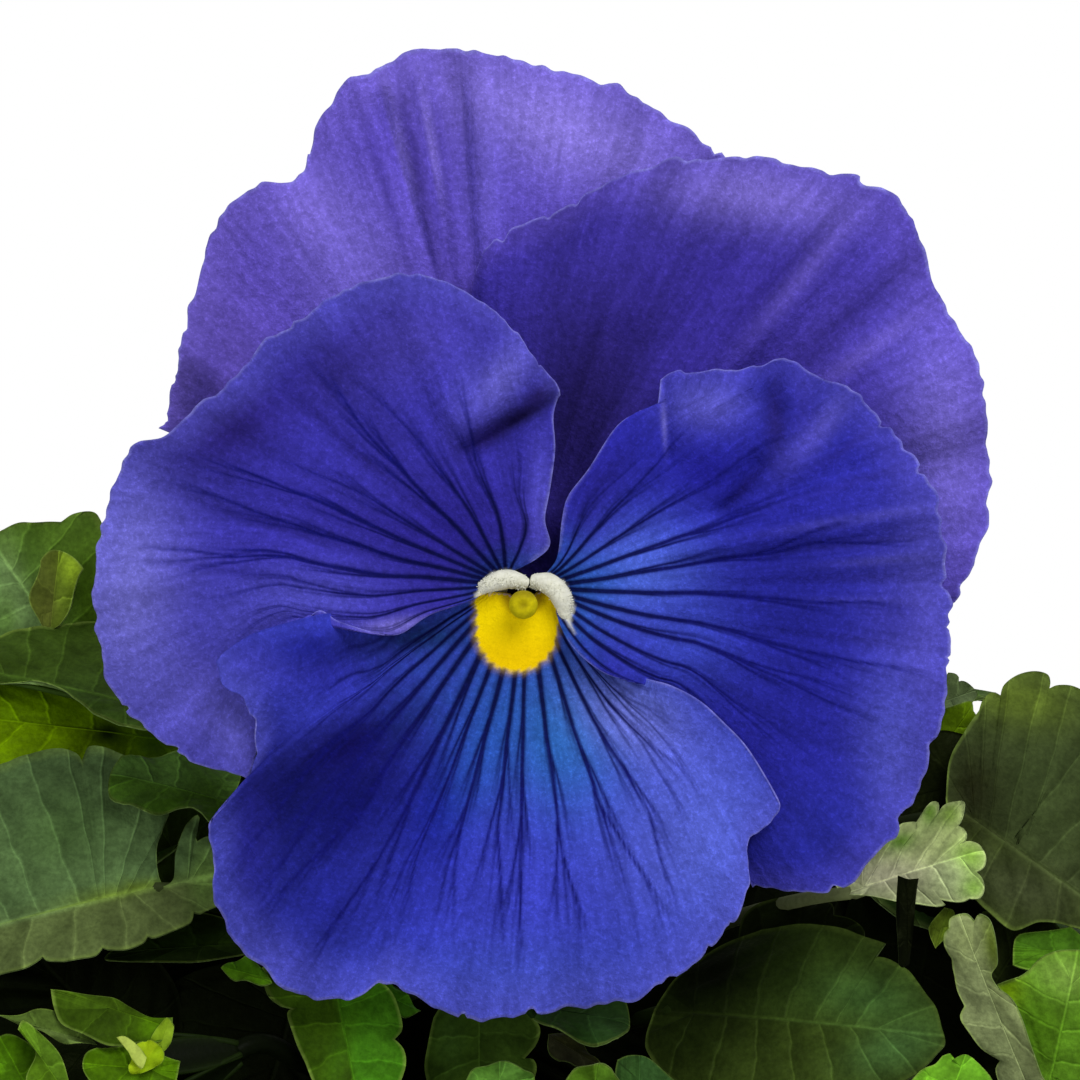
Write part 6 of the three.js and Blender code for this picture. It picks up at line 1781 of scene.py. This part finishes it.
# ------------------------------------------------------------------ stalks and bud
@dataclass
class Stalks:
    """The flower stalk with its calyx, and the bud on its own stalk."""

    calyx_depth: float = CALYX_DEPTH
    soil_level: float = SOIL_LEVEL
    root_depth: float = ROOT_DEPTH
    bud_neck: tuple = (-26, -40, -5)
    bud_tip: tuple = (-41, -43.5, -1.5)
    calyx_tones: tuple = ("#4a6420", "#7c9844")
    # painted shade: the bud's sepals are coloured nearly black
    bud_tones: tuple = ("#0a1004", "#18240a")

    def sepal(self, body: Body, root: Array, tip: Array, facing: Array, width: float, tones: tuple) -> None:
        """Adds a narrow pointed sepal: a spindle-shaped, slightly keeled sheet, paler at its edges."""
        v = np.linspace(0, 1, 26)[:, None]
        a = np.linspace(-1, 1, 11)[None]
        length = np.linalg.norm(tip - root)
        middle = (root + tip) / 2 + facing * 0.06 * length
        c = bend(root, middle, tip, v[:, 0])[:, None]
        heading = unit(np.gradient(c[:, 0], axis=0))[:, None]
        side = unit(np.cross(heading, facing))
        up = np.cross(side, heading)
        half = width / 2 * (np.sin(np.pi * np.clip(v * 0.86 + 0.12, 0, 1)) ** 0.8 + 0.02)
        points = c + side * (a * half)[..., None] + up * (0.18 * half * np.abs(a) ** 1.5)[..., None]
        thick = up * np.full_like(a * half, 0.2)[..., None]
        sheet, faces = shell(points + thick, points - thick)
        tint = mix(linear(tones[0]), linear(tones[1]), np.abs(np.broadcast_to(a, (26, 11)))[..., None] ** 4)
        tint = tint.reshape(-1, 3)
        uv = np.stack(np.broadcast_arrays(a * 0.5 + 0.5, v), -1).reshape(-1, 2)
        body.add(sheet, faces, np.concatenate([uv, uv]), np.concatenate([tint, tint]))

    def flower_stalk(self, finish: Material) -> Object:
        """Rises behind the bloom, bends over and ends in the receptacle and five sepals."""
        body = Body()
        back = -self.calyx_depth - 3.2
        t = np.linspace(0, 1, 24)
        foot = np.array([0, -4, self.soil_level - self.root_depth])
        neck = on_face(0, 0, back + 1)
        rise = bend(foot, np.array([0, -2, 150.0]), np.array([0, -9, 172.0]), t)
        hook = bend(np.array([0, -9, 172.0]), np.array([0, -14, 183.0]), np.array([0, -24, 182.6]), t)
        into = bend(np.array([0, -24, 182.6]), on_face(0, 2, back - 6), neck, t)
        path = np.concatenate([rise, hook[1:], into[1:]])
        points, faces, share = tube(path, np.linspace(1.22, 0.98, len(path)), 18)
        body.add(points, faces, share, mix(linear("#6f8a3c"), linear("#7c9448"), share[:, 1][:, None]))
        deep = -self.calyx_depth
        profile = np.array([(0, back), (1.4, back + 0.05), (2.2, deep - 2.3), (3.1, deep - 1.4),
                            (3.25, deep - 0.8), (3.0, deep - 0.05), (0, deep)])
        points, faces, uv = turned(profile, 30)
        skin = np.where((points[:, 2] > deep - 0.5)[:, None], linear("#180d20"), linear("#7f9650"))
        body.add(place_on_face(points, 0, 0, 0), faces, uv, skin)
        for angle in np.radians([18, 90, 162, 234, 306]):
            c, s = np.cos(angle), np.sin(angle)
            root, tip = on_face(1.5 * c, 1.5 * s, deep - 1.3), on_face(13.5 * c, 13.5 * s, deep - 2.6)
            self.sepal(body, root, tip, FACE_OUT, 4.4, self.calyx_tones)
        return body.build("flower_stalk_with_calyx", [finish])

    def bud(self, finish: Material, blade: Material, foliage: Foliage) -> tuple:
        """The bud's stalk with its clasping sepals, and the rolled bud inside them."""
        body = Body()
        neck = on_face(*self.bud_neck)
        heading = unit(on_face(*self.bud_tip) - neck)
        foot = np.array([-6, -18, self.soil_level - self.root_depth])
        collar = np.array([-6, -18, self.soil_level + 4.0])
        t = np.linspace(0, 1, 20)
        top = np.array([-21, -44, 138.0])
        rise = bend(collar, np.array([-9, -24, 128.0]), top, t)
        hook = bend(top, np.array([-23.5, -47, 141.3]), neck, t)
        path = np.concatenate([foot[None], rise, hook[1:]])
        points, faces, share = tube(path, np.full(len(path), 0.95), 14)
        # painted shade: the bud's stalk is coloured nearly black
        body.add(points, faces, share, linear("#080d03"))
        across = unit(np.cross(heading, np.array([0, 0, 1.0])))
        up = np.cross(across, heading)
        for angle in np.radians([0, 72, 144, 216, 288]):
            out = across * np.cos(angle) + up * np.sin(angle)
            self.sepal(body, neck - heading * 0.4 + out * 0.6, neck + heading * 12 + out * 4.2, out, 3.4,
                       self.bud_tones)
        for i, entry in enumerate(BUD_SEPALS):
            foliage.leaf(body, foliage.drawn_plan(entry, 60 + i), 1)
        stalk = body.build("bud_stalk_with_sepals", [finish, blade])
        reach = np.linspace(1.7, 14.5, 30)
        radii = np.interp(reach, [1.7, 3.2, 6, 9, 12, 14.5], [0.5, 1.0, 2.1, 2.65, 1.9, 0.4])
        rolled = Body()
        points, faces, share = tube(neck + heading * reach[:, None], radii, 28)
        swirl = np.sin(share[:, 0] * TAU * 2 + share[:, 1] * 7)
        # painted shade: the rolled bud is dark, darkest at its foot
        tone = mix(linear("#1c2a08"), linear("#35480e"), ramp(0.2, 0.9, share[:, 1])[:, None])
        tone = tone * (1 + 0.18 * swirl)[:, None]
        rolled.add(points, faces, share, tone)
        for i, entry in enumerate(FURLED_PETALS):
            foliage.leaf(rolled, foliage.drawn_plan(entry, 70 + i))
        return stalk, rolled.build("rolled_bud", [finish])


# ------------------------------------------------------------------ pot and soil
@dataclass
class Pot:
    """Clay pot with a rim band and three drain holes, and the soil that fills it."""

    height: float = 105.0
    foot_radius: float = 42.0
    body_top: float = 55.5
    rim_radius: float = 61.9
    rim_height: float = 22.0
    wall: float = 4.5
    floor: float = 6.5
    hole_radius: float = 5.0
    hole_ring: float = 21.0
    soil_level: float = SOIL_LEVEL

    def inside(self, z: float) -> float:
        """Inner radius at height z."""
        return mix(self.foot_radius, self.body_top, z / (self.height - self.rim_height)) - self.wall

    def clay(self, finish: Material) -> Object:
        """The pot: a softened profile turned round, slightly out of true, with drilled holes."""
        shoulder = self.height - self.rim_height
        inner = self.inside(self.height)
        corners = [(0, 0), (self.foot_radius - 1.4, 0), (self.foot_radius, 1.4),
                   (self.body_top - 0.3, shoulder - 2), (self.body_top, shoulder),
                   (self.rim_radius - 2.9, shoulder + 0.5),
                   (self.rim_radius - 2, shoulder + 1.6), (self.rim_radius - 0.1, self.height - 2),
                   (self.rim_radius - 0.7, self.height - 0.5), (self.rim_radius - 2, self.height),
                   (inner + 1.2, self.height), (inner - 0.2, self.height - 1.4), (self.inside(60), 60),
                   (self.inside(self.floor + 2), self.floor + 2), (self.inside(self.floor) - 2, self.floor),
                   (0, self.floor)]
        profile = []
        for a, b in zip(corners[:-1], corners[1:]):
            steps = max(2, int(np.hypot(b[0] - a[0], b[1] - a[1]) / 1.6))
            shares = np.linspace(0, 1, steps, endpoint=False)
            profile += [mix(np.array(a, float), np.array(b, float), t) for t in shares]
        profile.append(np.array(corners[-1], float))
        points, faces, uv = turned(np.array(profile), 168)
        turn = np.arctan2(points[:, 1], points[:, 0])
        r = np.hypot(points[:, 0], points[:, 1])
        wander = 0.12 * lattice_noise(turn * 2 + 9, points[:, 2] / 22, 41) - 0.14
        wander = wander + 0.05 * np.sin(points[:, 2] * 2.1 + turn)
        scale = np.where(r > 30, (r + wander) / np.maximum(r, 1), 1.0)
        points[:, :2] *= scale[:, None]
        body = Body()
        body.add(points, faces, uv, (1, 1, 1))
        piece = body.build("terracotta_pot", [finish])
        self.drill(piece)
        return piece

    def drill(self, piece: Object) -> None:
        """Cuts the drain holes with a Boolean modifier, then applies it."""
        cutters = Body()
        for angle in np.radians([90, 210, 330]):   # as in the solids
            at = np.array([self.hole_ring * np.cos(angle), self.hole_ring * np.sin(angle)])
            path = np.array([[*at, -6.0], [*at, self.floor + 6]])
            points, faces, uv = tube(path, np.full(2, self.hole_radius), 40)
            cutters.add(points, faces, uv)
        tool = cutters.build("drain_drill", [])
        cut = piece.modifiers.new("drain_holes", "BOOLEAN")
        cut.operation, cut.object, cut.solver = "DIFFERENCE", tool, "EXACT"
        bpy.context.view_layer.update()
        drilled = bpy.data.meshes.new_from_object(piece.evaluated_get(bpy.context.evaluated_depsgraph_get()))
        piece.modifiers.clear()
        piece.data = drilled
        bpy.data.objects.remove(tool)

    def soil_height(self, x: Array, y: Array) -> Array:
        """Height of the lumpy soil, without its crumbs."""
        lumps = np.sin(0.31 * x + 0.7) * np.cos(0.27 * y) + 0.6 * np.sin(0.53 * x - 0.41 * y + 2)
        return self.soil_level + 0.96 * lumps

    def soil(self, finish: Material) -> Object:
        """Soil: a lumpy disc of crumbs to just under the rim, with loose crumbs and perlite."""
        rings, spokes = 84, 200
        r_edge = self.inside(self.soil_level) - 0.8
        share = (np.linspace(0.012, 1, rings))[:, None]
        turn = (np.arange(spokes) * TAU / spokes)[None]
        x, y = share * r_edge * np.cos(turn), share * r_edge * np.sin(turn)
        z = self.soil_height(x, y)
        z = z + 0.9 * lattice_noise(x / 3.1, y / 3.1, 51) + 0.5 * lattice_noise(x / 1.3, y / 1.3, 52) - 0.6
        top = np.stack([x, y, z], -1).reshape(-1, 3)
        floor = self.floor + 0.4
        lower = self.inside(floor) - 0.9
        skirt = np.stack([lower * np.cos(turn[0]), lower * np.sin(turn[0]), np.full(spokes, floor)], -1)
        points = np.concatenate([top, skirt, [[0, 0, floor]], [[0, 0, z[0].mean()]]])
        n = rings * spokes
        wall = band(n - spokes, n, spokes)[:, ::-1]
        base = fan(n + spokes, n, spokes)[:, ::-1]
        crown = fan(n + spokes + 1, 0, spokes)
        body = Body()
        body.add(points, [grid_faces(rings, spokes, True)[:, ::-1], wall, base, crown], None, (1, 1, 1))
        self.crumbs(body, r_edge)
        return body.build("potting_soil", [finish])

    def crumbs(self, body: Body, r_edge: float) -> None:
        """Adds loose crumbs and white perlite: small uneven eight-sided lumps."""
        rng = np.random.default_rng(61)
        octa = np.array([[1, 0, 0], [0, 1, 0], [-1, 0, 0], [0, -1, 0], [0, 0, 1], [0, 0, -1]], float)
        faces = np.concatenate([fan(4, 0, 4)[:, [1, 2, 0]], fan(5, 0, 4)[:, [2, 1, 0]]])
        for i in range(620):
            r, a = (r_edge - 2.5) * np.sqrt(rng.uniform()), rng.uniform(0, TAU)
            x, y = r * np.cos(a), r * np.sin(a)
            white = i % 11 == 0
            size = rng.uniform(0.5, 1.5) * (0.8 if white else 1.0)
            shape = octa * rng.uniform(0.6, 1.3, (6, 1)) * size
            colour = np.array([9.0, 11.0, 13.0]) if white else np.full(3, rng.uniform(0.6, 1.5))
            body.add(shape + [x, y, self.soil_height(x, y) + 0.2 * size], [faces], None, colour)


# ------------------------------------------------------------------ studio
@dataclass
class Studio:
    """Camera at the photograph's view, pale floor, white surroundings and soft lights."""

    view_width: float = 96.4
    floor_radius: float = 430.0
    ambient: float = 0.36

    def camera(self) -> None:
        """Looks straight at the bloom's face, framed as the photograph is."""
        data = bpy.data.cameras.new("camera")
        data.sensor_width = 36.0
        data.lens = data.sensor_width * SEEN_FROM / self.view_width
        data.clip_start, data.clip_end = 0.01, 20.0
        camera = bpy.data.objects.new("camera", data)
        camera.location = on_face(SEEN_RIGHT, SEEN_UP, SEEN_FROM) * MM
        camera.rotation_euler = (np.pi / 2 - BLOOM_TILT, 0, 0)
        bpy.context.scene.collection.objects.link(camera)
        bpy.context.scene.camera = camera

    def floor(self) -> None:
        """A wide pale disc under the pot."""
        turn = np.arange(64) * TAU / 64
        rim = self.floor_radius * np.array([np.cos(turn), np.sin(turn)])
        body = Body()
        body.add(np.stack([*rim, np.full(64, -0.3)], -1), [np.arange(64)[None]])
        paper, add = fresh_material("matt_white_paper")
        matt = add("BsdfPrincipled", {"Base Color": rgba("#eeeeee"), "Roughness": 0.9})
        add("OutputMaterial", {"Surface": matt})
        body.build("floor", [paper])

    def light(self, name: str, place: tuple, size: float, power: float, colour: str = "#ffffff") -> None:
        """A square soft light at a place in mm, aimed at the bloom."""
        data = bpy.data.lights.new(name, "AREA")
        data.size, data.energy = size * MM, power
        data.color = linear(colour)
        lamp = bpy.data.objects.new(name, data)
        lamp.location = np.array(place) * MM
        aim = unit(np.array([0, -30, 165.0]) - np.array(place))
        side = unit(np.cross(aim, np.array([0, 0, 1.0])))
        up = np.cross(side, aim)
        matrix = np.eye(4)
        matrix[:3, 0], matrix[:3, 1], matrix[:3, 2] = side, up, -aim
        matrix[:3, 3] = np.array(place) * MM
        lamp.matrix_world = Matrix(matrix.tolist())
        bpy.context.scene.collection.objects.link(lamp)

    def build(self) -> None:
        """Sets up the camera, floor, surroundings and lights."""
        self.camera()
        self.floor()
        world = bpy.data.worlds.new("white_studio")
        bpy.context.scene.world = world
        world.use_nodes = True
        world.node_tree.nodes.clear()
        add = partial(node, world.node_tree)
        seen, shed = (add("Background", ((1, 1, 1, 1), strength)) for strength in (1.0, self.ambient))
        sky = add("MixShader", (add("LightPath", output="Is Camera Ray"), shed, seen))
        add("OutputWorld", {"Surface": sky})
        self.light("key", (240, -460, 700), 420, 3.6)
        self.light("fill", (-520, -420, 300), 500, 0.9)
        bpy.context.scene.view_settings.view_transform = "Standard"
        bpy.context.scene.view_settings.look = "None"


def settle(piece: Object, slot: str, *nodes: str) -> None:
    """Rides a piece on the body and hides the imported nodes that it stands for."""
    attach(piece, "root")
    if nodes:
        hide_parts(*nodes)
    LOG.info("%s: %d faces", piece.name, len(piece.data.polygons))


def main() -> None:
    """Builds the planter piece by piece."""
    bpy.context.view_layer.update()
    Studio().build()
    bloom = Bloom()
    velvet = {plan.slot: PetalFinish(f"velvet_{plan.slot}").material() for plan in PLANS}
    for plan in PLANS:
        settle(bloom.petal(plan, velvet[plan.slot]), plan.slot, plan.name.value)
    hair = FleshFinish("papilla_hairs", roughness=0.6, grain=0.08).material()
    settle(bloom.beard(PetalName.SIDE_LEFT, hair), "petal_side")
    settle(bloom.beard(PetalName.SIDE_RIGHT, hair), "petal_side")
    settle(bloom.pistil(FleshFinish("waxy_stigma", roughness=0.5).material()), "stigma", "pistil")
    settle(bloom.stamens(FleshFinish("powdery_anthers", roughness=0.8).material()), "anther", "stamens")

    flesh, blade = FleshFinish("fleshy_stalk").material(), LeafFinish().material()
    foliage, stalks = Foliage(), Stalks()
    settle(stalks.flower_stalk(flesh), "stalk", "flower_stalk")
    stalk, rolled = stalks.bud(flesh, blade, foliage)
    settle(stalk, "stalk", "bud_stalk")
    settle(rolled, "bud", "flower_bud")

    plans = [foliage.drawn_plan(entry, i) for i, entry in enumerate(DRAWN_LEAVES)]
    plans += foliage.mound_leaves() + foliage.inner_leaves()
    finishes = [blade, flesh]
    for k in range(foliage.stems):
        settle(foliage.stem(k, plans, finishes), "leaf", f"leafy_stem_{k + 1}")

    pot = Pot()
    settle(pot.clay(TerracottaFinish().material()), "clay_pot", "pot")
    settle(pot.soil(PeatFinish().material()), "potting_soil", "soil")


if __name__ == "__main__":
    logging.basicConfig(level=logging.INFO)
    main()
